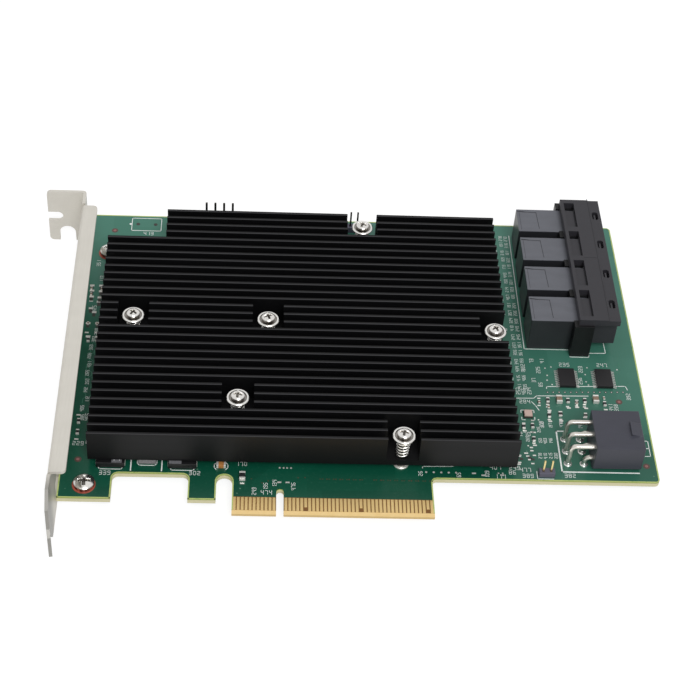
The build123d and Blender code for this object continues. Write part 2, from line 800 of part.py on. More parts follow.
with BuildPart() as logic_leads:
    lead_middle = logic_standoff + logic_height / 2
    for x, y in logic_places:
        with BuildSketch(Plane.XZ.offset(-y)) as lead_side:
            edge = x + logic_width / 2
            end = edge + logic_lead_reach
            heel = end - logic_lead_foot
            with BuildLine():
                Polyline(
                    (edge, face + lead_middle), (heel, face + logic_lead_thickness),
                    (end, face + logic_lead_thickness), (end, face), (heel - logic_lead_thickness, face),
                    (edge, face + lead_middle - logic_lead_thickness), close=True,
                )
            make_face()
            mirror(about=Plane.YZ.offset(x))
        for i in range(logic_leads_per_side):
            shift = logic_lead_pitch * (i - (logic_leads_per_side - 1) / 2) + logic_lead_width / 2
            extrude(Pos(0, shift, 0) * lead_side.sketch, amount=logic_lead_width, dir=(0, -1, 0))
finish(logic_leads, "logic_leads")


# Flat capacitors with feet that wrap under their ends, and the inductor
with BuildPart() as bulk_capacitors:
    with BuildSketch(above(bulk_foot_thickness)):
        with Locations(*[(x, bulk_front) for x in bulk_x]):
            Rectangle(bulk_length, bulk_width, align=(Align.CENTER, Align.MIN))
    extrude(amount=bulk_height - bulk_foot_thickness)
finish(bulk_capacitors, "bulk_capacitors")

with BuildPart() as bulk_terminals:
    for x in bulk_x:
        for side in (-1, 1):
            with BuildSketch(Plane.XZ.offset(-bulk_front - bulk_width / 2 - bulk_foot)):
                end = x + side * bulk_length / 2
                with BuildLine():
                    Polyline(
                        (end - side * bulk_foot, face), (end + side * bulk_foot_thickness, face),
                        (end + side * bulk_foot_thickness, face + bulk_height / 2),
                        (end, face + bulk_height / 2), (end, face + bulk_foot_thickness),
                        (end - side * bulk_foot, face + bulk_foot_thickness), close=True,
                    )
                make_face()
            extrude(amount=2 * bulk_foot)
finish(bulk_terminals, "bulk_terminals")

with BuildPart() as inductor:
    with BuildSketch(above()):
        with Locations(inductor_place):
            Rectangle(inductor_length, inductor_width)
    extrude(amount=inductor_height)
finish(inductor, "inductor")

# Oscillator: a ceramic base and a metal lid a little smaller
with BuildPart() as oscillator:
    with BuildSketch(above()):
        with Locations(*by_logic(oscillator_spot)):
            Rectangle(oscillator_side, oscillator_side)
    extrude(amount=oscillator_base)
finish(oscillator, "oscillator")

with BuildPart() as oscillator_cover:
    with BuildSketch(above(oscillator_base)):
        with Locations(*by_logic(oscillator_spot)):
            Rectangle(oscillator_side - 2 * oscillator_rim, oscillator_side - 2 * oscillator_rim)
    extrude(amount=oscillator_lid)
finish(oscillator_cover, "oscillator_cover")


def chip_bodies(places, size, along_y, plane=above(), up=1):
    """Bodies of small chip parts, between their terminals, in the part being built."""
    length, width, height = size
    body = (length * (1 - 2 * terminal_share), width)
    with BuildSketch(plane) as bodies:
        with Locations(*places):
            Rectangle(*(reversed(body) if along_y else body))
    extrude(bodies.sketch, amount=up * height)


def chip_terminals(places, size, along_y, plane=above(), up=1):
    """Metal ends of small chip parts, in the part being built."""
    length, width, height = size
    terminal = (length * terminal_share, width + 2 * terminal_swell)
    offset = length * (1 - terminal_share) / 2
    shifts = [(0, -offset), (0, offset)] if along_y else [(-offset, 0), (offset, 0)]
    with BuildSketch(plane) as ends:
        with Locations(*[(x + dx, y + dy) for x, y in places for dx, dy in shifts]):
            Rectangle(*(reversed(terminal) if along_y else terminal))
    extrude(ends.sketch, amount=up * (height + terminal_swell))


resistor_places = list(left_resistors) + by_logic(*right_resistors)
capacitor_places = list(left_capacitors) + by_logic(*right_capacitors)

with BuildPart() as resistors:
    chip_bodies(resistor_places, size_medium, along_y=True)
    chip_bodies([wide_resistor], size_large, along_y=True)
finish(resistors, "resistors")

with BuildPart() as resistor_terminals:
    chip_terminals(resistor_places, size_medium, along_y=True)
    chip_terminals([wide_resistor], size_large, along_y=True)
finish(resistor_terminals, "resistor_terminals")

with BuildPart() as capacitors:
    chip_bodies(capacitor_places, size_small, along_y=True)
    chip_bodies(by_logic(*large_capacitors), size_large, along_y=True)
    chip_bodies([brown_capacitor], size_large, along_y=False)
finish(capacitors, "capacitors")

with BuildPart() as capacitor_terminals:
    chip_terminals(capacitor_places, size_small, along_y=True)
    chip_terminals(by_logic(*large_capacitors), size_large, along_y=True)
    chip_terminals([brown_capacitor], size_large, along_y=False)
finish(capacitor_terminals, "capacitor_terminals")


def under_chip(centre):
    """Grid of places under a chip, on the solder side."""
    steps = [under_chip_pitch * (i - (under_chip_count - 1) / 2) for i in range(under_chip_count)]
    return [(centre[0] + dx, centre[1] + dy) for dx in steps for dy in steps]


under_places = [place for _, centre, _, _ in chips for place in under_chip(centre)]
with BuildPart() as solder_side_capacitors:
    chip_bodies(under_places, size_small, False, Plane.XY.offset(back), up=-1)
finish(solder_side_capacitors, "solder_side_capacitors")

with BuildPart() as solder_side_terminals:
    chip_terminals(under_places, size_small, False, Plane.XY.offset(back), up=-1)
finish(solder_side_terminals, "solder_side_terminals")
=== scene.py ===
# %% [markdown]
# A host bus adapter, dressed for its photograph: a green card with a black finned cooler, cable ports, a
# power header and a steel bracket. The solids come from the packed frame. Procedural materials fit every
# side, where a wrapped picture would not, and a lathe or a helix is a short formula in numpy.

# %% Load the frame
import json
import math

import bmesh
import bpy
import numpy as np
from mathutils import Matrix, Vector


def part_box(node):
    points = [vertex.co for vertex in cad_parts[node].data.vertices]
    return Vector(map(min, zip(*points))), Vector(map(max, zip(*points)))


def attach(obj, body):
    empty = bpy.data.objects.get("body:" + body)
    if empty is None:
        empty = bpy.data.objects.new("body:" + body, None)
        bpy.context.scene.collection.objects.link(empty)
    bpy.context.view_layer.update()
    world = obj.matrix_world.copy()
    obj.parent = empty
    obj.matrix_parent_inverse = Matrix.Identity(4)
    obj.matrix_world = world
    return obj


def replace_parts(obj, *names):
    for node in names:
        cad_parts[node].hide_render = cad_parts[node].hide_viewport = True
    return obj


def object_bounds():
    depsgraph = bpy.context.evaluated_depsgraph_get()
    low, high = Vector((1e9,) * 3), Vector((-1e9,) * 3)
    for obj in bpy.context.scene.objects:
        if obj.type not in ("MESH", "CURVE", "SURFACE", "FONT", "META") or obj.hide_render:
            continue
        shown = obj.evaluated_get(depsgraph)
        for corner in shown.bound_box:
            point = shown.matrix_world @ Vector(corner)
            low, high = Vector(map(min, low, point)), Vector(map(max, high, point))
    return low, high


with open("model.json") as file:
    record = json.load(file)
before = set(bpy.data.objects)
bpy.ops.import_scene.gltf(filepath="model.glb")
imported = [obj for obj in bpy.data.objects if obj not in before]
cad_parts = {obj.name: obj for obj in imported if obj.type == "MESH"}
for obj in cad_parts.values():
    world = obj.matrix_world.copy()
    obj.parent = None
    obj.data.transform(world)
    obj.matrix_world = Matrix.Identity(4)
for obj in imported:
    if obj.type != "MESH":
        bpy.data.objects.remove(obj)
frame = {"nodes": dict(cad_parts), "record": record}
cad_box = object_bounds()
MM = 0.001
scene = bpy.context.scene
rng = np.random.default_rng(7)


def box_of(node):
    """Lowest and highest corner of a node, in millimetres."""
    low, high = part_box(node)
    return np.array(low) / MM, np.array(high) / MM


def top_of(node):
    """Height of the top of a node, in millimetres."""
    return float(box_of(node)[1][2])


FACE, BACK = top_of("circuit_board"), float(box_of("circuit_board")[0][2])
print("nodes:", len(frame["nodes"]), "board face at", round(FACE, 3), "mm")

# %% [markdown]
# Materials are node graphs. Wiring them by hand hides the maths, so a socket is wrapped in a small class:
# 1 - mask * 0.5 adds the Math nodes that it needs. Colours go through Mix nodes, because a Math node
# would turn them grey.

# %% Sockets that do maths


class Socket:
    """An output socket of a graph; + - * / add Math nodes, also with a number on the left."""

    def __init__(self, graph, output):
        self.graph = graph
        self.output = output

    def _maths(self, operation, first, second=0.0):
        return self.graph.node("ShaderNodeMath", {"operation": operation}, {0: first, 1: second})

    def __add__(self, other):
        return self._maths("ADD", self, other)

    __radd__ = __add__

    def __sub__(self, other):
        return self._maths("SUBTRACT", self, other)

    def __rsub__(self, other):
        return self._maths("SUBTRACT", other, self)

    def __mul__(self, other):
        return self._maths("MULTIPLY", self, other)

    __rmul__ = __mul__

    def __truediv__(self, other):
        return self._maths("DIVIDE", self, other)

    def above(self, edge):
        """1 where the value is greater than an edge, and 0 elsewhere."""
        return self._maths("GREATER_THAN", self, edge)

    def below(self, edge):
        """1 where the value is less than an edge, and 0 elsewhere."""
        return self._maths("LESS_THAN", self, edge)

    def larger(self, other):
        """The larger of two values."""
        return self._maths("MAXIMUM", self, other)

    def size(self):
        """The value without its sign."""
        return self._maths("ABSOLUTE", self)

    def fade(self, start, end):
        """0 at start, 1 at end, with a smooth change between them."""
        settings = {"interpolation_type": "SMOOTHSTEP"}
        values = {"Value": self, "From Min": start, "From Max": end}
        return self.graph.node("ShaderNodeMapRange", settings, values)


print("socket methods:", [name for name in vars(Socket) if name[0] != "_"])

# %% Node graphs and finishes


class Graph:
    """A node tree, with one way to add a node and one to set or link a socket."""

    def __init__(self, tree):
        self.tree = tree

    def node(self, kind, settings=None, values=None, out=0):
        """A node with its settings made first, then its sockets' values or links; gives one output."""
        made = self.tree.nodes.new(kind)
        for name, value in (settings or {}).items():
            setattr(made, name, value)
        for name, value in (values or {}).items():
            self.feed(made.inputs[name], value)
        return Socket(self, made.outputs[out])

    def feed(self, target, value):
        """Links a socket, or sets a plain number or colour."""
        if isinstance(value, Socket):
            self.tree.links.new(value.output, target)
        elif isinstance(value, tuple) and len(value) == 3 and target.type == "RGBA":
            target.default_value = (*value, 1.0)
        else:
            target.default_value = value


class Finish(Graph):
    """One procedural material; its Principled shader takes what the methods make."""

    def __init__(self, name, metallic=0.0, specular=0.5):
        self.material = bpy.data.materials.new(name)
        self.material.use_nodes = True
        super().__init__(self.material.node_tree)
        self.shader = self.tree.nodes["Principled BSDF"]
        self.place = self.node("ShaderNodeTexCoord", out="Object")
        self.set("Metallic", metallic)
        self.set("Specular IOR Level", specular)

    def set(self, name, value):
        """Sets or links one socket of the shader."""
        self.feed(self.shader.inputs[name], value)

    def axis(self, letter):
        """One coordinate in millimetres."""
        parts = self.node("ShaderNodeSeparateXYZ", values={0: self.place}, out="XYZ".index(letter))
        return parts * (1 / MM)

    def noise(self, per_mm, detail=3.0, stretch=(1, 1, 1)):
        """Noise from 0 to 1 with about so many bumps a millimetre, squeezed along each axis."""
        scaled = self.node("ShaderNodeMapping", values={"Vector": self.place, "Scale": stretch})
        values = {"Vector": scaled, "Scale": per_mm / MM, "Detail": detail}
        return self.node("ShaderNodeTexNoise", values=values, out="Fac")

    def mix(self, factor, first, second):
        """Colour that goes from the first to the second with the factor."""
        return self.node("ShaderNodeMix", {"data_type": "RGBA"}, {0: factor, 6: first, 7: second}, out=2)

    def tones(self, factor, first, second):
        """The same for two colours read as 0 to 255 on a screen."""
        return self.mix(factor, colour(*first), colour(*second))

    def done(self, tone, roughness, height, depth_mm):
        """Sets colour, roughness and a bump (height 0 to 1, depth in millimetres); gives the material."""
        values = {"Height": height, "Distance": depth_mm * MM, "Strength": 1.0}
        self.set("Base Color", tone)
        self.set("Roughness", roughness)
        self.set("Normal", self.node("ShaderNodeBump", values=values))
        return self.material


def colour(red, green, blue):
    """A colour read as 0 to 255 on a screen, as the linear values that a shader takes."""
    screen = np.array((red, green, blue)) / 255
    linear = np.where(screen <= 0.04045, screen / 12.92, ((screen + 0.055) / 1.055) ** 2.4)
    return tuple(float(v) for v in linear)


print("white:", colour(255, 255, 255))

# %% [markdown]
# The board is glass laminate under a glossy green mask. Its cut edge is pale, and the tongue round the
# contacts has no mask. A film of its own for the mask would be 0.03 mm thick, so one material looks at
# the height and the place instead, and the solid stays whole.

# %% Board finish
FILM = 0.012
MASK_EDGE = 5.3
TONGUE_LEFT, TONGUE_RIGHT = -12.3, 39.3


def board_finish():
    """Green mask with a painted sheen on the right and back left, pale laminate edges, bare laminate round
    the contacts.
    """
    made = Finish("board", specular=0.42)
    x, y, z = made.axis("X"), made.axis("Y"), made.axis("Z")
    grain = made.noise(0.06, 2.0)
    fine = made.noise(1.3, 4.0)
    pours = made.node("ShaderNodeTexVoronoi", {"distance": "CHEBYCHEV"},
                      {"Vector": made.place, "Scale": 0.045 / MM, "Randomness": 1.0}, out="Color")
    tone = made.node("ShaderNodeSeparateColor", values={0: pours})
    dark = made.tones(tone * 0.6, (8, 76, 56), (18, 92, 70))
    lit = made.tones(tone * 0.7, (62, 122, 104), (82, 138, 122))
    # Painted sheen: the mask turns a lighter green on the right and at the back left, standing in for the
    # gloss catching light there.
    sheen_right = x.fade(50.0, 72.0) * (0.45 + y.fade(16.0, 62.0) * 0.5)
    sheen_back_left = y.fade(60.0, 84.0) * 1.1
    painted_sheen = sheen_right.larger(sheen_back_left)
    mask = made.mix(painted_sheen * (0.65 + grain * 0.5), dark, lit)
    mask = made.mix(fine.fade(0.55, 0.8) * 0.2, mask, colour(70, 128, 106))
    vias = made.node("ShaderNodeTexVoronoi", {}, {"Vector": made.place, "Scale": 0.42 / MM}, out="Distance")
    dots = vias.below(0.085) * made.noise(0.09, 1.0).fade(0.55, 0.6)
    mask = made.mix(dots * 0.7, mask, colour(120, 160, 140))
    laminate = made.tones(made.noise(0.5, 3.0, (1, 1, 9)), (236, 229, 182), (251, 245, 208))
    rim = made.mix(z.fade(0.3, 0.6), laminate, colour(172, 184, 98))
    edge = z.size().below(FACE - FILM)
    bare = y.below(MASK_EDGE) * x.above(TONGUE_LEFT) * x.below(TONGUE_RIGHT)
    tan = made.tones(grain, (122, 82, 36), (142, 98, 46))
    bevel = made.tones(made.noise(0.8), (236, 200, 132), (246, 216, 156))
    faces = made.mix(bare, mask, tan)
    sides = made.mix(bare * y.below(1.2), rim, bevel)
    weave = made.node("ShaderNodeTexWave", {"bands_direction": "DIAGONAL"},
                      {"Vector": made.place, "Scale": 0.28 / MM, "Distortion": 1.5}, out="Fac")
    gloss = 0.3 + edge * 0.35 + fine * 0.08
    return made.done(made.mix(edge, faces, sides), gloss, weave * 0.5 + fine * 0.5, 0.006)


board_material = board_finish()
print("board finish:", len(board_material.node_tree.nodes), "nodes")

# %% [markdown]
# The other finishes share a few kinds: metal, moulded plastic, ceramic and print. Each kind is a function
# with the colours as arguments, and the noise scales differ where the real grain differs.

# %% Metal finishes
FIN_PITCH = 2.936
HIGHLIGHT_START, HIGHLIGHT_END = 0.3, 0.44


def metal(name, light, dark, roughness, per_mm=0.8, metallic=1.0, depth=0.004):
    """Metal whose colour and roughness wander a little, with a fine even grain."""
    made = Finish(name, metallic=metallic)
    cloud = made.noise(per_mm * 0.1, 2.0)
    grain = made.noise(per_mm * 4)
    tone = made.tones(cloud * 0.6 + grain * 0.4, light, dark)
    return made.done(tone, roughness * 0.8 + grain * (roughness * 0.4), grain, depth)


def cooler_finish():
    """Black anodising: deep black flanks, a painted highlight on the front of each fin top, and faint saw
    marks.
    """
    made = Finish("cooler_black", specular=0.24)
    y, z = made.axis("Y"), made.axis("Z")
    from_first = (y - float(box_of("heatsink")[0][1]) + 0.1) / FIN_PITCH
    from_edge = made.node("ShaderNodeMath", {"operation": "FRACT"}, {0: from_first}) * FIN_PITCH
    # Painted highlight: the front part of each fin's top is mixed to a lighter grey.
    top = z.above(top_of("heatsink") - 0.02) * (1 - from_edge.fade(HIGHLIGHT_START, HIGHLIGHT_END))
    streak = made.noise(0.35, 4.0, (0.05, 1, 1))
    cloud = made.noise(0.05, 2.0)
    flank = made.tones(streak, (7, 7, 8), (13, 13, 15))
    crest_highlight = made.tones(cloud * 0.5 + streak * 0.5, (48, 48, 50), (68, 68, 71))
    return made.done(made.mix(top, flank, crest_highlight), 0.42 + streak * 0.16, streak, 0.01)


def plated_finish():
    """Gold plate with a burnished streak down each contact and a slow mottle of wear."""
    made = Finish("gold_plate", metallic=0.75)
    streak = made.noise(1.6, 3.0, (4, 0.2, 1))
    wear = made.noise(0.15, 2.0)
    tone = made.tones(streak * 0.6 + wear * 0.4, (255, 228, 166), (242, 204, 132))
    return made.done(tone, 0.28 + streak * 0.2, streak, 0.004)


def bracket_finish():
    """Bright plated sheet, brushed along its height, with a soft mottle and a painted shade that greys its
    lower end.
    """
    made = Finish("bracket_steel", metallic=0.35, specular=0.4)
    brush = made.noise(2.2, 4.0, (1, 0.06, 1))
    mottle = made.noise(0.22)
    plate = made.tones(brush * 0.45 + mottle * 0.55, (232, 228, 219), (214, 210, 200))
    # Painted shade: from y = 1 mm down to y = -6 mm the sheet fades to a greyer tone.
    tail_shade = made.tones(mottle, (176, 174, 168), (158, 156, 150))
    tone = made.mix(made.axis("Y").fade(-6.0, 1.0), tail_shade, plate)
    return made.done(tone, 0.34 + brush * 0.14 + mottle * 0.08, brush * 0.7 + mottle * 0.3, 0.008)


print("fin pitch:", FIN_PITCH, "mm")

# %% Finishes of screws, collars and standoffs
COOLER_HEAD = 1.35
BRACKET_HEAD = 1.9


def screw_finish(name, node, height):
    """Nickel plate of a screw's dome: bright, with a painted shade down in the driver cross."""
    made = Finish(name, metallic=1.0)
    top = top_of(node)
    outside_recess_shade = made.axis("Z").fade(top - height * 0.54, top - height * 0.34)
    grain = made.noise(3.0)
    cloud = made.noise(0.5, 2.0)
    # Painted shade: the floor and low walls of the cross take these dark, mottled tones.
    dark = made.tones(cloud.fade(0.35, 0.65), (62, 59, 56), (120, 116, 110))
    light = made.tones(grain, (252, 250, 247), (224, 221, 216))
    return made.done(made.mix(outside_recess_shade, dark, light), 0.13 + grain * 0.1, grain, 0.004)


def flank_finish(name, seat):
    """Nickel plate on the head's side, with upright streaks that swing it from bright to dark as a painted
    reflection, and a painted shade on the shank below the seat.
    """
    made = Finish(name, metallic=1.0)
    side = made.axis("Z").above(seat - 0.02)
    streak = made.noise(1.1, 2.0, (1, 1, 0.1))
    # Painted reflection on the side above the seat, painted shade on the shank below it.
    flank = made.tones(streak.fade(0.4, 0.62), (232, 229, 224), (112, 108, 103))
    return made.done(made.mix(side, colour(58, 55, 52), flank), 0.16 + streak * 0.08, streak, 0.004)


def stepped_finish(name, level, below, above, roughness, metallic=1.0):
    """Plate with a fine grain, in one pair of tones below a level and in another above it: painted lit and
    shaded copies of one plate.
    """
    made = Finish(name, metallic=metallic)
    grain = made.noise(3.0)
    tones = [made.tones(grain, *pair) for pair in (below, above)]
    tone = made.mix(made.axis("Z").above(level), *tones)
    return made.done(tone, roughness + grain * 0.1, grain, 0.004)


plain_metals = {
    "spring_steel": ((255, 254, 250), (230, 226, 220), 0.2, {}),
    "contact_metal": ((226, 184, 110), (200, 156, 84), 0.3, {}),
    "tin_pin": ((234, 231, 224), (204, 198, 186), 0.3, {"per_mm": 0.3, "depth": 0.001}),
    "solder": ((238, 238, 236), (214, 214, 210), 0.2, {"metallic": 0.8}),
    "gold_post": ((240, 222, 170), (220, 194, 130), 0.25, {}),
    "dark_post": ((92, 88, 84), (62, 58, 54), 0.35, {}),
    "lead_tin": ((218, 214, 212), (184, 178, 176), 0.35, {"metallic": 0.5}),
    "terminal_tin": ((250, 249, 246), (226, 223, 216), 0.32, {"metallic": 0.35}),
    "lid_metal": ((170, 170, 172), (148, 148, 150), 0.35, {}),
    "oscillator_lid": ((222, 194, 184), (202, 172, 162), 0.35, {"metallic": 0.5}),
}
finishes = {name: metal(name, *row[:3], **row[3]) for name, row in plain_metals.items()}
finishes.update({
    "board": board_material,
    "gold_plate": plated_finish(),
    "bracket_steel": bracket_finish(),
    "cooler_black": cooler_finish(),
    "bracket_screw": screw_finish("bracket_screw", "bracket_screws", BRACKET_HEAD),
    "spring_screw": screw_finish("spring_screw", "heatsink_screws", COOLER_HEAD),
    # The collar's sides and dish below its lip are a painted shade of the head; the lip is the bright plate.
    "spring_collar": stepped_finish("spring_collar", top_of("spring_collars") - 0.1,
                                    ((150, 146, 141),) * 2, ((255, 254, 251), (228, 225, 220)), 0.2),
    # The standoff's foot ring is brightened near white as a painted highlight, and its post under the cooler
    # is a painted shade.
    "standoff_metal": stepped_finish("standoff_metal", FACE + 0.5, ((255, 253, 247), (236, 232, 224)),
                                     ((96, 93, 88),) * 2, 0.24, 0.5),
})
print("metals:", len(finishes))

# %% Plastic, ceramic and print finishes
HOOD_RIM = 11.45
RIB_REACH = 6.9


def moulded(name, tone, roughness, per_mm=1.4, shade=0.82, dark_zone=None):
    """Moulded plastic: a fine spark-eroded grain, slow changes of tone and faint flow marks, and a painted
    shade where a zone is given.
    """
    made = Finish(name, specular=0.4)
    base = colour(*tone)
    grain = made.noise(per_mm * 3, 4.0)
    flow = made.noise(0.16, 3.0, (1, 2.5, 1))
    body = made.mix(flow * 0.7 + grain * 0.3, base, tuple(v * shade for v in base))
    if dark_zone:
        body = made.mix(dark_zone(made), body, tuple(v * 0.1 for v in base))
    return made.done(body, roughness - 0.06 + grain * 0.12, grain, 0.01)


def speckled(name, base, spot, roughness, per_mm=2.0):
    """Ceramic, film or print with small darker or lighter specks."""
    made = Finish(name, specular=0.4)
    speck = made.noise(per_mm, 4.0).fade(0.5, 0.72)
    return made.done(made.tones(speck, base, spot), roughness, speck, 0.006)


def capacitor_finish():
    """Fired ceramic: greyish brown, and a warm orange brown for the part near the connector's hook."""
    made = Finish("capacitor_tan", specular=0.4)
    speck = made.noise(2.0, 4.0).fade(0.5, 0.72)
    brown = made.tones(speck, (148, 126, 108), (122, 102, 88))
    warm = made.tones(speck, (196, 134, 74), (172, 112, 60))
    by_hook = made.axis("X").below(0.0) * made.axis("Y").below(20.0)
    return made.done(made.mix(by_hook, brown, warm), 0.55, speck, 0.006)


def below_box_top(made):
    """The sides of the receptacles stand in each other's shade and are a deeper black."""
    return (1 - made.axis("Z").above(top_of("receptacle_1") - 0.2)) * 0.93


def under_hood(made):
    """The ribs behind the shells are painted black as shade under the hood's rim."""
    below = made.axis("Z").below(FACE + HOOD_RIM)
    return below * made.axis("X").below(float(box_of("port_frame")[1][0]) - RIB_REACH)


plastics = {
    # The receptacles' grey top tone and its blotchy flow are a painted sheen on black plastic; their sides
    # are a painted shade.
    "receptacle": ((112, 114, 122), 0.38, {"shade": 0.62, "dark_zone": below_box_top}),
    "hood_plastic": ((54, 53, 58), 0.44, {"dark_zone": under_hood}),
    "power_plastic": ((70, 71, 82), 0.38, {"shade": 0.72}),
    "header_plastic": ((98, 97, 113), 0.5, {}),
    "chip_black": ((30, 29, 31), 0.5, {"per_mm": 2.5}),
    "bulk_black": ((22, 22, 24), 0.4, {"per_mm": 2.0}),
}
films = {
    "inductor_grey": ((140, 137, 140), (160, 157, 160), 0.6),
    "oscillator_base": ((58, 50, 46), (78, 68, 62), 0.5),
    "resistor_black": ((38, 38, 40), (58, 58, 58), 0.35),
    "substrate": ((30, 74, 48), (42, 92, 62), 0.4),
    "thermal_pad": ((150, 156, 160), (128, 134, 140), 0.8),
    "white_print": ((252, 255, 253), (226, 238, 230), 0.55, 1.2),
    "bare_copper": ((178, 88, 70), (154, 74, 62), 0.35, 1.0),
    "copper_dot": ((158, 108, 104), (136, 84, 82), 0.35, 1.0),
    "edge_laminate": ((200, 214, 132), (168, 196, 110), 0.45, 0.6),
    "covered_copper": ((96, 74, 68), (84, 60, 56), 0.35, 1.0),
    # Painted shade for open holes, and the black of small chip bodies.
    "hole_shade_and_chip_black": ((64, 62, 58), (40, 38, 36), 0.35, 3.0),
    "covered_traces": ((70, 132, 108), (60, 120, 98), 0.35, 1.0),
    "seam_shadow": ((34, 34, 38), (24, 24, 28), 0.6, 1.5),
    "polarity_stripe": ((120, 120, 124), (98, 98, 102), 0.45, 1.5),
    "masked_copper": ((70, 78, 56), (104, 62, 50), 0.4, 0.9),
}
finishes.update({name: moulded(name, *row[:2], **row[2]) for name, row in plastics.items()})
finishes.update({name: speckled(name, *row) for name, row in films.items()})
finishes["capacitor_tan"] = capacitor_finish()
print("finishes:", len(finishes))

# %% Dress the nodes of the frame
slot_of = {row["node"]: row["material_slot"] for row in frame["record"]["subparts"]}
for node, piece in frame["nodes"].items():
    for place in piece.material_slots:
        place.material = finishes[slot_of[node]]
print("dressed", len(slot_of), "nodes in", len(set(slot_of.values())), "finishes")

# %% [markdown]
# New pieces are surfaces on a grid: two parameters go in, points come out, and neighbours make the faces.
# One class gathers surfaces into a piece, joins the points that meet and turns the faces outwards.
# Everything is in millimetres.

# %% Shapes from grids


def grid_faces(rows, columns):
    """Quads between neighbouring points of a grid whose last column meets its first."""
    row = np.arange(rows - 1)[:, None]
    column = np.arange(columns)[None, :]
    after = (column + 1) % columns
    corners = (row * columns + column, row * columns + after, (row + 1) * columns + after,
               (row + 1) * columns + column)
    return np.stack(np.broadcast_arrays(*corners), axis=-1).reshape(-1, 4)


class Shape:
    """Points in millimetres and the quads between them, gathered for one piece."""

    def __init__(self):
        self.points = []
        self.quads = []
        self.count = 0

    def add(self, points, quads):
        """Adds a surface given as points, in any grid form, and its quads."""
        flat = np.asarray(points, float).reshape(-1, 3)
        self.points.append(flat)
        self.quads.append(np.asarray(quads).reshape(-1, 4) + self.count)
        self.count += len(flat)

    def piece(self, name, finish, slot=None, smooth=False):
        """Makes the object, welded and facing outwards; the slot argument is not used."""
        slot = slot or finish
        mesh = bpy.data.meshes.new(name)
        points = np.concatenate(self.points) * MM
        mesh.from_pydata(points.tolist(), [], np.concatenate(self.quads).tolist())
        weld(mesh)
        mesh.materials.append(finishes[finish])
        mesh.polygons.foreach_set("use_smooth", np.full(len(mesh.polygons), smooth))
        return placed(name, mesh)


def linked(name, data):
    """A new object in the scene, of a mesh, a lamp or a camera."""
    made = bpy.data.objects.new(name, data)
    scene.collection.objects.link(made)
    return made


def placed(name, mesh):
    """An object of a mesh, riding on the card."""
    made = linked(name, mesh)
    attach(made, "root")
    return made


def weld(mesh, flat_angle=None):
    """Joins points that meet, drops faces with no area, and turns the faces outwards."""
    work = bmesh.new()
    work.from_mesh(mesh)
    bmesh.ops.remove_doubles(work, verts=work.verts, dist=1e-7)
    bmesh.ops.dissolve_degenerate(work, edges=work.edges, dist=1e-8)
    if flat_angle is not None:
        bmesh.ops.dissolve_limit(work, angle_limit=flat_angle, verts=work.verts, edges=work.edges)
    bmesh.ops.recalc_face_normals(work, faces=work.faces)
    work.to_mesh(mesh)
    work.free()


def lathe(profile, centre, sides=40):
    """A profile of (radius, height) turned about the Z axis: x = r cos a, y = r sin a, z = height."""
    radius, height = np.array(profile, float).T
    angle = np.linspace(0, 2 * np.pi, sides, endpoint=False)
    x = centre[0] + radius[:, None] * np.cos(angle)
    y = centre[1] + radius[:, None] * np.sin(angle)
    z = np.broadcast_to(height[:, None], x.shape)
    return np.stack([x, y, z], axis=-1), grid_faces(len(radius), sides)


def centres(node, reach, above=-100.0):
    """Middle of each solid of a node, seen from above: points closer than reach belong together."""
    mesh = frame["nodes"][node].data
    flat = np.empty(len(mesh.vertices) * 3)
    mesh.vertices.foreach_get("co", flat)
    points = flat.reshape(-1, 3) / MM
    left = points[points[:, 2] > above][:, :2]
    found = []
    while len(left):
        near = np.linalg.norm(left - left[0], axis=1) < reach
        group = left[near]
        found.append((group.min(0) + group.max(0)) / 2)
        left = left[~near]
    return found


cooler_screws = centres("spring_collars", 8.0)
bracket_holes = centres("bracket_screws", 7.0)
print("cooler screws:", len(cooler_screws), "bracket screws:", len(bracket_holes))

# %% [markdown]
# A cross-recess head could be cut with a boolean, but a height field is cleaner: on rings and spokes the
# dome is lowered wherever a point lies in the cross. The flank and shank are one lathe profile.

# %% Screws
RINGS, SPOKES = 26, 112
RIM_SHARE = 0.55
CROSS_FLARE, CROSS_WALL, CROSS_END = 0.1, 0.14, 0.3


def recessed_dome(centre, radius, low, high, recess, turn):
    """Domed head: height = low + (high - low) (1 - (r / R)^2.6), less the cross, whose walls slope."""
    arm, slot_width, depth = recess
    share = np.linspace(1, 0, RINGS) ** 0.85
    angle = np.linspace(0, 2 * np.pi, SPOKES, endpoint=False)
    r = radius * share[:, None]
    x, y = r * np.cos(angle), r * np.sin(angle)
    dome = low + (high - low) * (1 - share[:, None] ** 2.6) + 0 * angle
    u = np.abs(x * np.cos(turn) + y * np.sin(turn))
    v = np.abs(y * np.cos(turn) - x * np.sin(turn))
    along = np.clip((arm - np.maximum(u, v)) / (CROSS_END * arm), 0, 1)
    across = np.clip((slot_width / 2 + CROSS_FLARE - np.minimum(u, v)) / CROSS_WALL, 0, 1)
    z = dome - depth * along * across
    points = np.stack([centre[0] + x, centre[1] + y, z], axis=-1)
    return points, grid_faces(RINGS, SPOKES)


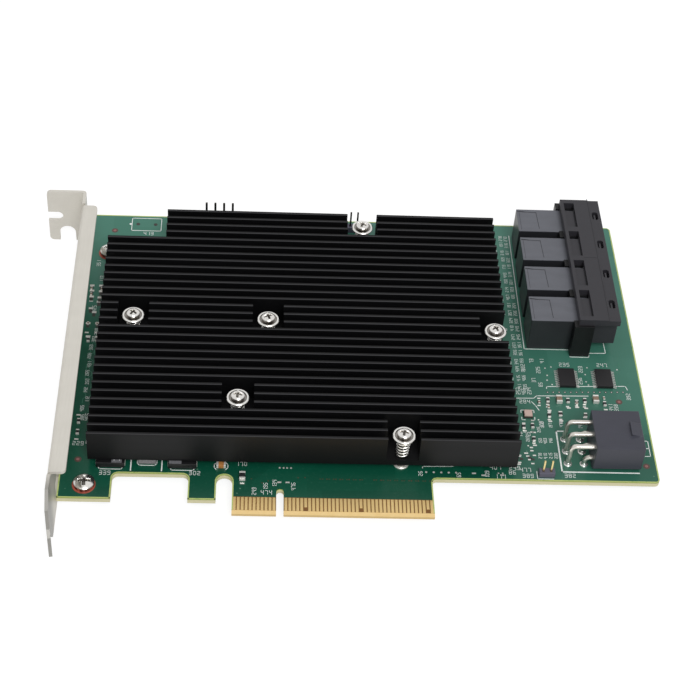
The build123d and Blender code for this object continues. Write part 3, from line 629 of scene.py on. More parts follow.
def round_screws(name, node, places, head, slot, recess, turns):
    """Screws that stand for the plain ones: shank and flank by lathe, dome with its recess."""
    low, high = box_of(node)
    radius, height, shank = head
    seat = high[2] - height
    rim = seat + height * RIM_SHARE
    domes, flanks = Shape(), Shape()
    for centre, turn in zip(places, turns):
        flank = [(0, low[2]), (shank * 0.8, low[2]), (shank, low[2] + 0.3), (shank, seat),
                 (radius - 0.12, seat), (radius, seat + 0.12), (radius, rim)]
        flanks.add(*lathe(flank, centre, SPOKES))
        domes.add(*recessed_dome(centre, radius, rim, high[2], recess, turn))
    made = domes.piece(name, slot, smooth=True)
    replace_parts(made, node)
    finishes[slot + "_flank"] = flank_finish(slot + "_flank", float(seat))
    flanks.piece(name + "_flanks", slot + "_flank", slot, smooth=True)
    return made


turns = rng.uniform(0, np.pi / 2, 8)
cooler_heads = round_screws("cooler_screw_detail", "heatsink_screws", cooler_screws,
                                  (1.775, COOLER_HEAD, 1.0), "spring_screw", (1.2, 0.5, 0.75), turns)
bracket_heads = round_screws("bracket_screw_detail", "bracket_screws", bracket_holes,
                                   (2.65, BRACKET_HEAD, 1.5), "bracket_screw", (1.65, 0.66, 1.1), turns[6:])
print("screw faces:", len(cooler_heads.data.polygons), len(bracket_heads.data.polygons))

# %% [markdown]
# Under each cooler screw sit a pressed collar and a coil spring, and below the base a standoff. A curve
# with a bevel could be the spring, but a tube carried along a helix by formula gives closed ends, and its
# end turns can be squeezed flat.

# %% Springs, collars and standoffs
WIRE = 0.27
COIL_TOP, COIL_FOOT = 1.86, 1.5
COIL_TURNS = 6.3


def spring(centre, low, high, steps=220, sides=10):
    """Wire round a helix: angle grows with t, height = low + rise(t), radius from foot to top."""
    t = np.linspace(0, 1, steps)
    angle = 2 * np.pi * COIL_TURNS * t
    rise = np.clip((t - 0.09) / 0.82, 0, 1)
    rise = rise * 0.93 + t * 0.07
    radius = COIL_FOOT + (COIL_TOP - COIL_FOOT) * rise
    path = np.stack([radius * np.cos(angle), radius * np.sin(angle),
                     low + WIRE + (high - low - 2 * WIRE) * rise], axis=-1)
    ahead = np.gradient(path, axis=0)
    ahead /= np.linalg.norm(ahead, axis=1, keepdims=True)
    out = np.stack([np.cos(angle), np.sin(angle), 0 * angle], axis=-1)
    up = np.cross(ahead, out)
    around = np.linspace(0, 2 * np.pi, sides, endpoint=False)[:, None]
    ring = np.cos(around) * out[:, None, :] + np.sin(around) * up[:, None, :]
    first, last = (np.broadcast_to(path[i], (1, sides, 3)) for i in (0, -1))
    wire = np.concatenate([first, path[:, None, :] + WIRE * ring, last])
    return wire + (*centre, 0), grid_faces(steps + 2, sides)


COOLER_TOP, BORE = FACE + 4.0, 1.02
seat, lip = (corner[2] for corner in box_of("spring_collars"))
post_top = top_of("standoffs")
collar = [(BORE, seat), (2.85, seat), (2.97, seat + 0.12), (2.97, lip - 0.14), (2.8, lip), (2.4, lip),
          (2.2, lip - 0.2), (BORE, lip - 0.2), (BORE, seat)]
post = [(BORE, BACK), (1.3, BACK), (1.45, BACK + 0.15), (1.45, FACE), (2.05, FACE + 0.02), (2.05, FACE + 0.3),
        (1.9, FACE + 0.42), (1.55, FACE + 0.46), (1.55, post_top - 0.1), (1.45, post_top),
        (BORE, post_top), (BORE, BACK)]
coils, collars, standoffs = Shape(), Shape(), Shape()
for centre in cooler_screws:
    coils.add(*spring(centre, COOLER_TOP + 0.03, seat))
    collars.add(*lathe(collar, centre, 48))
    standoffs.add(*lathe(post, centre, 40))
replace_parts(coils.piece("cooler_spring_detail", "spring_steel", smooth=True), "heatsink_springs")
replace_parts(collars.piece("cooler_collar_detail", "spring_collar"), "spring_collars")
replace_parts(standoffs.piece("standoff_detail", "standoff_metal"), "standoffs")
print("spring points:", coils.count)

# %% [markdown]
# The power pins are square bar, bent down to the board and soldered: a rounded section carried along
# straight, quarter circle, straight. The solder climbs the pin in a hollow cone, flat on the board and
# steep at its end.

# %% Power pins and solder
PIN, PIN_CUT = 1.07, 0.14
BENDS = {True: 1.25, False: 1.5}
PIN_LEVELS = {True: 2.55, False: 6.75}
CONES = ((1, 1.12, 0.62, 0.66), (-1, 1.05, 0.75, 0.79))
housing_low = box_of("power_header_housing")[0]
pins_low, pins_high = box_of("power_header_pins")
middle_x = (pins_low[0] + housing_low[0]) / 2
joint_places = sorted(centres("solder_joints", 2.2, FACE + 0.4), key=lambda p: (round(p[0]), p[1]))


def bent_pin(x, y, level, bend, steps=12):
    """Path: along the pin at its level, a quarter circle, then down through the board."""
    z = FACE + level
    tip = pins_high[0]
    arc = np.linspace(0, np.pi / 2, steps)
    centre_x, centre_z = x + bend, z - bend
    end = pins_low[2]
    path_x = np.concatenate([[tip, tip - 0.03, centre_x + 0.03], centre_x - bend * np.sin(arc), [x, x, x]])
    path_z = np.concatenate([[z, z, z], centre_z + bend * np.cos(arc), [centre_z - 0.03, end + 0.03, end]])
    lean = np.concatenate([[0, 0, 0], arc, [np.pi / 2] * 3])
    half, flat = PIN / 2, PIN / 2 - PIN_CUT
    across, outward = np.array([(half, flat), (flat, half), (-flat, half), (-half, flat),
                                (-half, -flat), (-flat, -half), (flat, -half), (half, -flat)]).T
    px = path_x[:, None] - np.sin(lean)[:, None] * outward
    pz = path_z[:, None] + np.cos(lean)[:, None] * outward
    py = np.broadcast_to(y + across, px.shape)
    body = np.stack([px, py, pz], axis=-1)
    first, last = (np.broadcast_to(body[i].mean(0), (1, 8, 3)) for i in (0, -1))
    return np.concatenate([first, body, last]), grid_faces(len(path_x) + 2, 8)


def solder_cone(side, foot, climb, tip):
    """Profile of solder on one side: radius = foot - 0.5 sqrt(t), height = 0.02 + climb t^1.5."""
    plane = FACE if side > 0 else BACK
    steps = np.linspace(0, 1, 9)
    slope = [(foot - 0.5 * np.sqrt(t), plane + side * (0.02 + climb * t ** 1.5)) for t in steps]
    return [(0, plane), (foot, plane), *slope, (0, plane + side * tip)]


pins, solder = Shape(), Shape()
for x, y in joint_places:
    front_row = bool(x > middle_x)
    pins.add(*bent_pin(x, y, PIN_LEVELS[front_row], BENDS[front_row]))
    for cone in CONES:
        solder.add(*lathe(solder_cone(*cone), (x, y), 28))
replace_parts(pins.piece("power_pin_detail", "tin_pin", smooth=True), "power_header_pins")
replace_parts(solder.piece("power_solder_detail", "solder", smooth=True), "solder_joints")
print("power pins:", len(joint_places))

# %% [markdown]
# Moulded and pressed pieces never have knife edges, so a welded copy of a node gets a small Bevel and
# stands for it. The bevel only takes away, so the copy stays inside the solid.

# %% Softened edges


def soften(node, width_mm):
    """A copy of a node with its flat faces joined and its edges rounded by a Bevel."""
    copy = frame["nodes"][node].data.copy()
    copy.name = f"{node}_edges"
    weld(copy, flat_angle=math.radians(2))
    made = placed(f"{node}_edges", copy)
    rounding = made.modifiers.new("rounded_edges", "BEVEL")
    rounding.width = width_mm * MM
    rounding.segments = 2
    rounding.limit_method = "ANGLE"
    rounding.angle_limit = math.radians(35)
    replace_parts(made, node)
    return made


edge_widths = {
    "port_frame": 0.14, "power_header_housing": 0.16, "logic_packages": 0.08, "bulk_capacitors": 0.15,
    "bulk_terminals": 0.05, "inductor": 0.2, "oscillator": 0.08, "oscillator_cover": 0.12,
    "resistors": 0.05, "capacitors": 0.07, "resistor_terminals": 0.06, "capacitor_terminals": 0.06,
    "two_pin_header_block": 0.2, "four_pin_header_block": 0.2, "rear_header_block": 0.2,
    "two_pin_header_posts": 0.1, "four_pin_header_posts": 0.12, "rear_header_posts": 0.1,
    **{f"receptacle_{i}": 0.16 for i in range(1, 5)},
}
softened = {node: soften(node, width) for node, width in edge_widths.items()}
print("softened:", len(softened))

# %% [markdown]
# White print is a film of ink. It could be a pattern in the board's material, but each mark has its own
# place, so each stroke is a thin plate proud of the mask. A figure is made of up to seven strokes.

# %% Strokes and figures
INK_HEIGHT = 0.03


def strokes(shape, segments, width, low=0.0, height=INK_HEIGHT, up=1, reach=0.5):
    """Thin plates along segments (x0, y0, x1, y1): corners = ends + width (reach along, half aside)."""
    ends = np.asarray(segments, float).reshape(-1, 4)
    start, stop = ends[:, :2], ends[:, 2:]
    along = (stop - start) / np.maximum(np.linalg.norm(stop - start, axis=1, keepdims=True), 1e-9)
    side = np.stack([-along[:, 1], along[:, 0]], axis=-1) * (width / 2)
    tip = along * (width * reach)
    outline = np.stack([start - tip - side, stop + tip - side, stop + tip + side, start - tip + side], axis=1)
    plane = FACE if up > 0 else BACK
    levels = [np.full((len(ends), 4, 1), plane + up * (low + level)) for level in (0.0, height)]
    points = np.concatenate([np.concatenate([outline, z], axis=-1) for z in levels], axis=1)
    sides = [(0, 1, 2, 3), (4, 5, 6, 7), (0, 1, 5, 4), (1, 2, 6, 5), (2, 3, 7, 6), (3, 0, 4, 7)]
    quads = np.array(sides)[None] + 8 * np.arange(len(ends))[:, None, None]
    shape.add(points, quads)


def line(shape, points, width=0.2):
    """A line of print through a list of corners."""
    route = np.asarray(points, float)
    strokes(shape, np.concatenate([route[:-1], route[1:]], axis=1), width)


bars = {"a": (0, 2, 1, 2), "b": (1, 2, 1, 1), "c": (1, 1, 1, 0), "d": (0, 0, 1, 0), "e": (0, 1, 0, 0),
        "f": (0, 2, 0, 1), "g": (0, 1, 1, 1)}
figures = ("abcdef", "bc", "abged", "abgcd", "fgbc", "afgcd", "afgedc", "abc", "abcdefg", "abcdfg")


def number(shape, text, x, y, height, turned, width, up):
    """A plain number with its lower left corner at a place; turned reads upwards along Y."""
    unit = height / 2
    step = unit * 1.75
    segments = []
    for place, digit in enumerate(text):
        for name in figures[int(digit)]:
            u0, v0, u1, v1 = bars[name]
            segments.append((u0 * unit + place * step, v0 * unit, u1 * unit + place * step, v1 * unit))
    ends = np.array(segments).reshape(-1, 2)
    if turned:
        ends = np.stack([-ends[:, 1], ends[:, 0]], axis=-1)
    ends = ends * (up, 1) + (x, y)
    strokes(shape, ends.reshape(-1, 4), width, up=up)


print("strokes in an 8:", len(figures[8]))

# %% Silk lines
port_low = box_of("receptacle_1")[0]
two_low, two_high = box_of("two_pin_header_block")
bulk_low, bulk_high = box_of("bulk_capacitors")
choke_low, choke_high = box_of("inductor")
clock_y = sum(corner[1] for corner in box_of("oscillator")) / 2

ink = Shape()
left, front = port_low[0] - 0.75, port_low[1] - 0.3
power_front = housing_low[1] - 0.4
two_left, two_front = two_low[0] - 0.3, two_low[1] - 0.35
choke_left, choke_right = choke_low[0] - 0.2, choke_high[0] + 0.2
line(ink, [(left, 106.5), (left, front), (80.1, front), (80.2, 57.0), (85.4, 57.0), (85.6, 58.6),
                   (90.3, 58.7), (90.2, 63.0)])
line(ink, [(75.0, 29.5), (73.2, 29.5), (73.2, power_front), (93.4, power_front)], 0.38)
for route in ([(95.9, 26.6), (97.3, 26.6), (97.3, 21.3), (95.9, 21.3)],
              [(96.0, 24.0), (97.3, 24.0)],
              [(two_left, two_high[1] + 0.1), (two_left, two_front), (two_high[0] - 0.3, two_front)],
              [(72.3, 44.9), (72.4, 45.6), (94.1, 46.3), (94.5, 45.0)],
              [(63.7, 41.1), (68.4, 41.2), (69.3, 42.1), (83.4, 42.4)],
              [(67.7, 39.9), (68.6, 38.6), (69.4, 36.9)],
              [(choke_left, 16.6), (choke_left, 15.6), (choke_left + 0.6, 15.0), (choke_right - 0.6, 15.0),
               (choke_right, 15.6), (choke_right, 16.6)],
              [(36.8, 15.9), (36.9, 16.4), (44.8, 16.6)],
              [(-43.9, 104.6), (-35.3, 104.6), (-35.3, 110.0), (-43.9, 110.0), (-43.9, 104.6)],
              [(-50.2, 22.0), (-50.2, 27.0)]):
    line(ink, route)
for x in (-38.2, -30.3):
    line(ink, [(x, 13.3), (x, 18.3)], 0.32)
for side in (-1, 1):
    for end in (-1, 1):
        x, y = 66.2 + side * 1.75, clock_y + end * 1.75
        line(ink, [(x, y - end * 0.9), (x, y), (x - side * 0.9, y)])
    x = -15.15 + side * 1.75
    line(ink, [(x - side * 0.5, 16.3), (x, 15.7), (x, 14.7), (x - side * 0.5, 14.1)])
for x in (bulk_low[0] + 3.65, bulk_high[0] - 3.65):
    y = bulk_low[1] - 0.35
    line(ink, [(x - 3.6, y + 1.3), (x - 2.7, y), (x + 2.7, y), (x + 3.6, y + 1.3)])
lines_piece = ink.piece("printed_lines", "white_print", "board")
print("line faces:", len(lines_piece.data.polygons))

# %% [markdown]
# The card is crowded with small marks beside its parts. Their places were read from the photograph in
# groups, and the numbers come from a seeded draw, so every run prints the same ones.

# %% Small numbers
upright = ((76.8, 53.4), (87.3, 53.5), (64.5, 39.3), (63.4, 27.7), (59.5, 15.9), (62.3, 15.3), (62.8, 13.3),
           (73.8, 13.6), (-46.0, 11.7), (-23.2, 12.1), (-11.3, 15.5), (-4.8, 6.2), (-53.6, 21.4),
           (55.5, 12.9), (54.5, 15.9), (59.3, 14.3), (-40.2, 102.8))
turned_spots = ((67.1, 51.5), (69.7, 54.5), (72.6, 54.5), (71.2, 50.6), (69.6, 47.2), (71.3, 45.6),
                (64.9, 42.6), (66.4, 42.6), (67.9, 42.7), (94.9, 41.3), (89.6, 37.2), (91.0, 37.2),
                (70.0, 30.6), (83.0, 51.2), (82.4, 46.8), (80.4, 30.4), (-6.1, 6.0), (-3.2, 7.6),
                (-0.9, 8.6), (3.9, 7.8), (36.7, 13.3), (46.6, 13.1), (54.0, 13.0), (-50.2, 30.0),
                (-50.2, 61.5), (-51.6, 70.5), (-50.4, 82.6), (-51.8, 89.0))
column_spots = ((69.0, 25.0), (70.3, 25.1), (71.8, 25.1), (68.4, 19.9), (69.8, 19.9), (71.2, 20.0),
                (72.6, 20.0), (69.0, 29.0), (70.1, 31.0), (72.3, 30.5), (75.2, 31.1), (65.7, 25.7))
small_print = Shape()


def mark(places, lowest, highest, height, width, turned=True, up=1, spread=None):
    """A drawn number at each place, moved by a draw where spread gives (axis, from, to)."""
    for place in places:
        text = str(rng.integers(lowest, highest))
        place = list(place)
        if spread:
            place[spread[0]] += rng.uniform(*spread[1:])
        number(small_print, text, *place, height, turned, width, up)


back_marks = ((-30, 20), (0, 24), (30, 60), (62, 92), (-38, 70), (14, 100), (74, 24), (-12, 52))
port_columns = [(x, y) for y in np.arange(44.5, 106.0, 3.15) for x in (65.4, 66.9)]
mark(column_spots, 101, 480, 0.8, 0.12)
mark(upright, 11, 480, 1.2, 0.13, turned=False)
mark(turned_spots, 21, 480, 1.0, 0.12)
mark(port_columns, 101, 480, 0.85, 0.1, spread=(1, -0.25, 0.25))
mark([(-51.6, y) for y in np.arange(30.0, 60.0, 3.2)], 101, 480, 0.85, 0.11, spread=(0, -0.4, 0.9))
mark([(63.5, y) for y in np.arange(48.0, 104.0, 6.3)], 10, 99, 0.85, 0.11, spread=(1, -0.8, 0.8))
mark(back_marks, 10, 99, 1.6, 0.2, turned=False, up=-1)
print_piece = small_print.piece("printed_numbers", "white_print", "board")
print("number faces:", len(print_piece.data.polygons))

# %% [markdown]
# Pads, via dots and test points are copper that the mask leaves open: silver where it is tinned, reddish
# where it is bare. They are flat lathe discs and short plates.

# %% Places of pads and small flat parts
lone_pads = ((72.7, 52.5), (74.4, 53.0), (73.0, 49.8), (72.8, 48.0), (74.0, 46.4), (84.4, 53.0),
             (83.6, 50.4), (83.5, 47.7), (84.0, 46.5), (92.7, 52.5), (56.5, 14.6), (57.6, 14.6),
             (65.2, 24.2), (62.6, 25.3), (68.9, 33.4))
small_pads = ((-0.2, 10.2), (1.9, 10.2), (50.1, 14.4), (52.5, 13.8), (57.4, 14.0), (62.4, 20.5),
              (62.1, 17.8), (-9.65, 9.6), (79.9, 38.2), (82.3, 37.9), (77.6, 37.9), (87.6, 37.6),
              (72.2, 36.9), (75.0, 33.2), (72.0, 33.0), (81.6, 34.6), (64.8, 29.4), (67.2, 28.9),
              (67.0, 24.4), (64.4, 21.6), (65.2, 19.4), (-53.4, 62.2), (-50.7, 62.3), (-53.0, 31.8),
              (-52.8, 23.4), (-53.2, 74.6), (-50.6, 76.4))
chip_ends = ((69.8, 41.2), (69.6, 38.6), (72.3, 41.3), (72.0, 39.0), (71.9, 38.1), (77.7, 41.4),
             (77.5, 39.9), (77.3, 38.4), (80.1, 40.8), (79.9, 39.6), (79.8, 38.7), (82.3, 41.5),
             (82.2, 40.2), (82.0, 39.2), (81.9, 38.4), (72.2, 36.4), (72.0, 35.0), (71.8, 33.6),
             (75.2, 36.5), (75.1, 35.1), (74.9, 33.7), (81.9, 36.1), (81.8, 34.9), (67.3, 33.2),
             (67.1, 32.0), (67.0, 30.8), (64.8, 32.1), (64.6, 30.7), (66.7, 29.0), (66.9, 27.2),
             (66.8, 26.1), (66.8, 25.1), (66.0, 23.6), (66.0, 22.5), (64.7, 20.6), (66.5, 20.9),
             (65.8, 18.1), (74.8, 32.5), (62.6, 20.8), (62.4, 18.4))
chip_bodies = ((69.7, 39.9), (72.1, 39.6), (77.6, 40.7), (80.0, 40.2), (82.2, 40.9), (72.1, 35.7),
               (75.2, 35.8), (67.1, 31.4), (64.7, 31.4), (66.9, 26.7), (65.2, 20.1), (65.9, 19.5),
               (81.8, 35.5), (62.9, 19.6))
left_pads = ((-53.4, 80.9), (-53.3, 78.8), (-53.2, 76.4), (-50.8, 80.9), (-50.7, 78.6), (-50.9, 76.1),
             (-51.0, 74.4), (-53.0, 71.7), (-52.0, 70.2), (-53.3, 65.8), (-50.7, 65.9), (-50.4, 60.6),
             (-52.9, 60.7))
lone_vias = ((-7.3, 11.2), (-4.6, 9.9), (-3.0, 10.6), (4.6, 11.8), (6.4, 11.9), (64.2, 60.4), (65.0, 80.6),
             (75.9, 44.9), (81.6, 44.6))
test_places = ((-48.7, 104.4), (-51.8, 16.6), (91.6, 40.5), (95.7, 17.9))
header_row = [(72.4 + 1.6 * i, 43.5 + 0.045 * i) for i in range(14)]
via_rows = np.concatenate([np.arange(10.3, 20.6, 1.7), np.arange(24.1, 38.6, 1.8)])
print("small flat parts:", len(chip_ends) + len(chip_bodies) + len(left_pads))

# %% Pads, vias and test points
pads, dark_vias, test_points, halos, dots = Shape(), Shape(), Shape(), Shape(), Shape()
hole_shade_and_chip_bodies, white_dots, back_dots, traces = Shape(), Shape(), Shape(), Shape()


def discs(shape, places, radius, height=INK_HEIGHT, sides=14, hole=0.0, up=1):
    """Flat round pads at a list of places, or rings where they have a hole."""
    low = FACE if up > 0 else BACK
    top = low + up * height
    profile = [(hole, low), (radius, low), (radius, top), (hole, top)]
    if hole:
        profile.append((hole, low))
    for place in places:
        shape.add(*lathe(profile, place, sides))


def dashes(shape, places, half, width):
    """A short plate along X at each place."""
    strokes(shape, [(x - half, y, x + half, y) for x, y in places], width)


# Dark discs for the header row and the open header holes are a painted shade; the dark dashes and strips by
# small pads are chip bodies.
discs(hole_shade_and_chip_bodies, header_row, 0.34, FILM)
discs(pads, header_row, 0.15, sides=8)
discs(pads, [(x, 14.5) for x in np.linspace(37.7, 45.5, 5)], 0.3)
discs(pads, [(x, 15.0) for x in (-0.1, 0.9, 1.8, 2.8)], 0.26)
discs(pads, lone_pads, 0.22, sides=10)
dashes(pads, small_pads, 0.3, 0.45)
dashes(pads, chip_ends, 0.22, 0.42)
dashes(hole_shade_and_chip_bodies, chip_bodies, 0.15, 0.7)
dashes(pads, left_pads, 0.25, 0.75)
strokes(hole_shade_and_chip_bodies, [(x, y - 0.75, x, y - 1.3) for x, y in left_pads[:-2]], 0.85)
for x, y0, y1 in ((-50.6, 33.0, 58.0), (-52.4, 36.0, 57.0), (-51.5, 44.0, 59.0)):
    for y in np.arange(y0, y1, 4.2):
        line(traces, [(x, y), (x, y + 1.5), (x + 0.7, y + 2.1), (x + 0.7, y + 3.3), (x, y + 3.9)], 0.14)
for x, y in ((92.0, 46.0), (74.6, 64.0), (61.0, 20.0)):
    line(traces, [(x, y), (x, y + 5.0), (x + 1.4, y + 6.4), (x + 1.4, y + 9.0)], 0.14)
discs(dark_vias, [(x + gap, 11.5) for x in via_rows for gap in (0.0, 0.6)] + list(lone_vias), 0.2, sides=10)
discs(halos, test_places, 0.92, FILM, 24, 0.44)
discs(dots, test_places, 0.42, sides=18)
discs(test_points, [(x - 0.08, y - 0.12) for x, y in bracket_holes], 2.98, 0.05, 48, 2.1)
discs(pads, bracket_holes, 2.4, 0.05, 36, 1.75, up=-1)
header_holes = ((-42.1, 107.45), (-37.0, 107.4))
discs(hole_shade_and_chip_bodies, header_holes, 0.56, INK_HEIGHT, 24)
discs(pads, header_holes, 0.85, 0.05, 24, 0.5, up=-1)
discs(white_dots, [(-44.3, 107.4)], 0.36, sides=16)
post_holes = []
for kind in ("four_pin", "two_pin", "rear"):
    post_holes += centres(f"{kind}_header_posts", 1.2)
discs(pads, post_holes, 0.8, 0.04, 18, 0.3)
discs(pads, post_holes, 0.8, 0.3, 18, 0.3, up=-1)
discs(pads, cooler_screws, 2.4, 0.04, 36, 1.46, up=-1)
BACK_PITCH = 2.1
back_blocks = ((-34, 40, 6, 4), (-4, 70, 7, 5), (30, 28, 6, 4), (70, 40, 5, 3), (72, 62, 4, 12))
for x0, y0, across, along in back_blocks:
    block = [(x0 + BACK_PITCH * i, y0 + BACK_PITCH * j) for i in range(across) for j in range(along)]
    discs(back_dots, block, 0.27, sides=8, up=-1)

pads_piece = pads.piece("tinned_pads", "terminal_tin")
dark_vias.piece("masked_vias", "masked_copper", "board")
test_points.piece("copper_rings", "bare_copper", "board")
halos.piece("covered_rings", "covered_copper", "board")
dots.piece("copper_dots", "copper_dot", "board")
hole_shade_and_chip_bodies.piece("hole_shade_and_chip_body_marks", "hole_shade_and_chip_black", "board")
back_dots.piece("solder_side_dots", "terminal_tin")
traces.piece("traces_under_mask", "covered_traces", "board")
print("pad faces:", len(pads_piece.data.polygons))

# %% [markdown]
# Where a board is routed out, the mask stops short of the cut and a line of pale laminate shows. It
# follows the outline of the solid: each edge between a face and the cut gives one thin plate, moved
# inwards by half its width.

# %% Rim of the board
RIM = 0.34


def outline_edges(mesh, level):
    """Rows (x0, y0, x1, y1, u, v) of the edges where a face meets the cut; (u, v) points inwards."""
    work = bmesh.new()
    work.from_mesh(mesh)
    bmesh.ops.remove_doubles(work, verts=work.verts, dist=1e-7)
    work.normal_update()
    found = []
    for edge in work.edges:
        if len(edge.link_faces) != 2 or any(abs(v.co.z / MM - level) > 0.01 for v in edge.verts):
            continue
        flat, cut = sorted(edge.link_faces, key=lambda face: -abs(face.normal.z))
        if abs(flat.normal.z) > 0.9 and abs(cut.normal.z) < 0.3:
            ends = [v.co / MM for v in edge.verts]
            found.append((*ends[0][:2], *ends[1][:2], -cut.normal.x, -cut.normal.y))
    work.free()
    return np.array(found)


def longest_chain(rows):
    """The rows of the outline that reaches furthest; rows that share an end belong to one outline."""
    chains = []
    for i, row in enumerate(np.round(rows, 2)):
        ends, members = {tuple(row[:2]), tuple(row[2:4])}, [i]
        for chain in [c for c in chains if c[0] & ends]:
            chains.remove(chain)
            ends |= chain[0]
            members += chain[1]
        chains.append((ends, members))
    widest = max(chains, key=lambda chain: np.ptp([end[0] for end in chain[0]]))
    return rows[widest[1]]


rim_plates = Shape()
for up, level in ((1, FACE), (-1, BACK)):
    rows = longest_chain(outline_edges(frame["nodes"]["circuit_board"].data, level))
    middle = (rows[:, :2] + rows[:, 2:4]) / 2
    over = (middle[:, 0] > TONGUE_LEFT - 0.1) & (middle[:, 0] < TONGUE_RIGHT + 0.1)
    rows = rows[~(over & (middle[:, 1] < MASK_EDGE + 0.1))]
    inwards = rows[:, 4:6] * (RIM / 2)
    segments = rows[:, :4] + np.concatenate([inwards, inwards], axis=1)
    strokes(rim_plates, segments, RIM, height=FILM, up=up, reach=0.0)
rim_piece = rim_plates.piece("board_rim", "edge_laminate", "board")
print("rim faces:", len(rim_piece.data.polygons))

# %% [markdown]
# Moulding tools leave marks: a stepped seam on each receptacle and a joint across the hood. The flat
# capacitors carry a grey stripe. Each is a thin plate drawn by the same function as the print.

# %% Seams and stripes
seams, stripes, tongues = Shape(), Shape(), Shape()


def on_face(shape, segments, width, z, height=0.02):
    """Strokes on a face at a height of z millimetres in the frame."""
    strokes(shape, segments, width, low=z - FACE, height=height)


hood_low, hood_high = box_of("port_frame")
hood_top = hood_high[2]
shell_floor, tongue_level = hood_top - 0.9, hood_top - 1.1
tongue_x = hood_high[0] - 1.75
for i in range(1, 5):
    low, high = box_of(f"receptacle_{i}")
    x0, y0, y1, top = low[0] + 0.3, low[1], high[1] - 1.35, high[2]
    middle = (low[1] + high[1]) / 2
    on_face(seams, [(x0, y1 + 0.5, x0 + 2.0, y1 + 0.2), (x0, y1 + 0.4, x0 + 2.0, y1 + 0.15),
                    (x0 + 2.0, y1 + 0.18, x0 + 5.4, y1)], 0.2, top)
    on_face(seams, [(x0 + 5.4, y1, x0 + 5.7, y0 + 1.2)], 0.14, top)
    on_face(seams, [(x0 + 0.5, y0 + 0.6, x0 + 0.45, y1)], 0.08, top)
    on_face(seams, [(84.82, middle - 5.0, 84.82, middle + 3.0)], 0.34, shell_floor, 0.04)
    on_face(tongues, [(tongue_x, middle - 1.5, tongue_x, middle + 0.5)], 0.5, tongue_level, 0.5)
on_face(seams, [(85.2, 83.2, 89.0, 83.2)], 0.12, hood_top)
on_face(seams, [(89.15, hood_low[1] + 0.2, 89.15, hood_high[1] - 0.2)], 0.14, hood_top)
stripe_y, bulk_top = float(bulk_low[1]) + 1.15, bulk_high[2]
on_face(stripes, [(-42.1, stripe_y, -41.4, stripe_y), (-27.5, stripe_y, -26.2, stripe_y)], 1.9, bulk_top)
on_face(white_dots, [(x, stripe_y - 0.2, x, stripe_y + 0.9) for x in (-42.4, -41.0)], 0.16, bulk_top + 0.02)
tongues.piece("latch_tongues", "hood_plastic")
white_dots.piece("printed_dots", "white_print", "board")
seams_piece = seams.piece("mould_seams", "seam_shadow", "receptacle")
stripes.piece("capacitor_stripes", "polarity_stripe", "bulk_black")
print("seam faces:", len(seams_piece.data.polygons))

# %% [markdown]
# The card stands on white with almost no shadow. The world and one soft sun give a plain level at which
# colours render as written. The white behind the card comes from rays that the camera and gloss see, not
# from more light.

# %% Floor and world
FLOOR_GAP, FLOOR_HALF = 0.05, 1500.0
FLOOR_GLOW = 0.82
WORLD_LEVEL = 0.66


def rays(graph, *kinds):
    """Sockets that are 1 for a ray of a kind and 0 for any other."""
    path = graph.tree.nodes.new("ShaderNodeLightPath")
    return [Socket(graph, path.outputs[f"Is {kind} Ray"]) for kind in kinds]


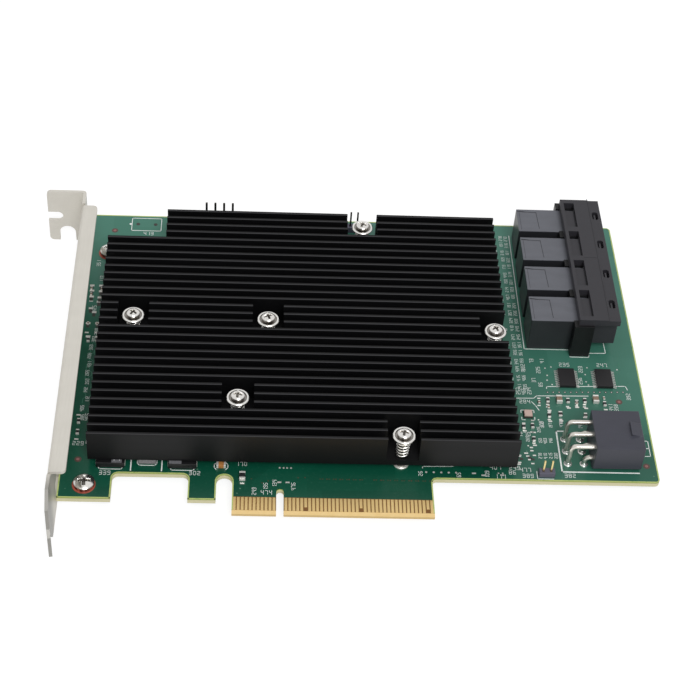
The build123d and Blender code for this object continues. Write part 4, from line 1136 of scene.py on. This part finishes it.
def white_floor():
    """A large square under the card: lit ground that keeps the shadow, and plain white to the camera."""
    low = cad_box[0][2] / MM - FLOOR_GAP
    ends = (-FLOOR_HALF, FLOOR_HALF)
    corners = np.array([(x, y, low) for y in ends for x in ends]) * MM
    mesh = bpy.data.meshes.new("floor")
    mesh.from_pydata(corners.tolist(), [], [(0, 1, 3, 2)])
    made = Finish("floor_white", specular=0.0)
    made.set("Roughness", 0.9)
    speck = made.noise(0.02, 2.0)
    made.set("Base Color", made.mix(speck, (0.29, 0.29, 0.29), (0.31, 0.31, 0.31)))
    camera, gloss = rays(made, "Camera", "Glossy")
    glow = made.node("ShaderNodeEmission", values={"Color": (1.0, 1.0, 1.0), "Strength": FLOOR_GLOW})
    nothing = made.node("ShaderNodeEmission", values={"Strength": 0.0})
    choose = made.node("ShaderNodeMixShader", values={0: camera + gloss, 1: nothing, 2: glow})
    both = made.node("ShaderNodeAddShader", values={0: choose, 1: Socket(made, made.shader.outputs[0])})
    made.feed(made.tree.nodes["Material Output"].inputs["Surface"], both)
    mesh.materials.append(made.material)
    floor = linked("floor", mesh)


def soft_world():
    """Plain white to the camera, to gloss and through glass, and a lower level as light on the card."""
    world = bpy.data.worlds.new("soft_studio")
    world.use_nodes = True
    world.node_tree.nodes.clear()
    sky = Graph(world.node_tree)
    camera, gloss, glass = rays(sky, "Camera", "Glossy", "Transmission")
    seen = camera.larger(gloss).larger(glass)
    level = sky.node("ShaderNodeMapRange", values={"Value": seen, "To Min": WORLD_LEVEL, "To Max": 1.0})
    target = sky.tree.nodes.new("ShaderNodeOutputWorld")
    sky.feed(target.inputs["Surface"], sky.node("ShaderNodeBackground", values={"Strength": level}))
    return world


white_floor()
scene.world = soft_world()
print("world level:", WORLD_LEVEL)

# %% Sun
SUN_ENERGY, SUN_SPREAD = 1.35, 25
SUN_TURN = (38, 12, 0)
sun_data = bpy.data.lights.new("soft_sun", "SUN")
sun_data.energy = SUN_ENERGY
sun_data.angle = math.radians(SUN_SPREAD)
sun = linked("soft_sun", sun_data)
sun.rotation_euler = tuple(math.radians(a) for a in SUN_TURN)
print("sun energy:", SUN_ENERGY)

# %% [markdown]
# The camera comes from the photograph: the known lengths of the card, such as the contact pitch, the
# bracket and the board, were matched to their places in it, which gives the lens, the place and the turn.

# %% Camera
LENS, SENSOR = 87.334, 36.0
SHIFT_X, SHIFT_Y = 0.02, -0.05
CAMERA_PLACE = (-8.980, -267.624, 336.118)
CAMERA_TURN = (45.305, -3.038, -1.130)
camera_data = bpy.data.cameras.new("photo_camera")
camera_data.lens, camera_data.sensor_width = LENS, SENSOR
camera_data.shift_x, camera_data.shift_y = SHIFT_X, SHIFT_Y
camera_data.clip_start, camera_data.clip_end = 0.01, 20.0
camera = linked("photo_camera", camera_data)
camera.location = tuple(v * MM for v in CAMERA_PLACE)
camera.rotation_euler = tuple(math.radians(a) for a in CAMERA_TURN)
scene.camera = camera
scene.view_settings.view_transform = "Standard"
print("camera height:", round(camera.location.z, 3), "m")
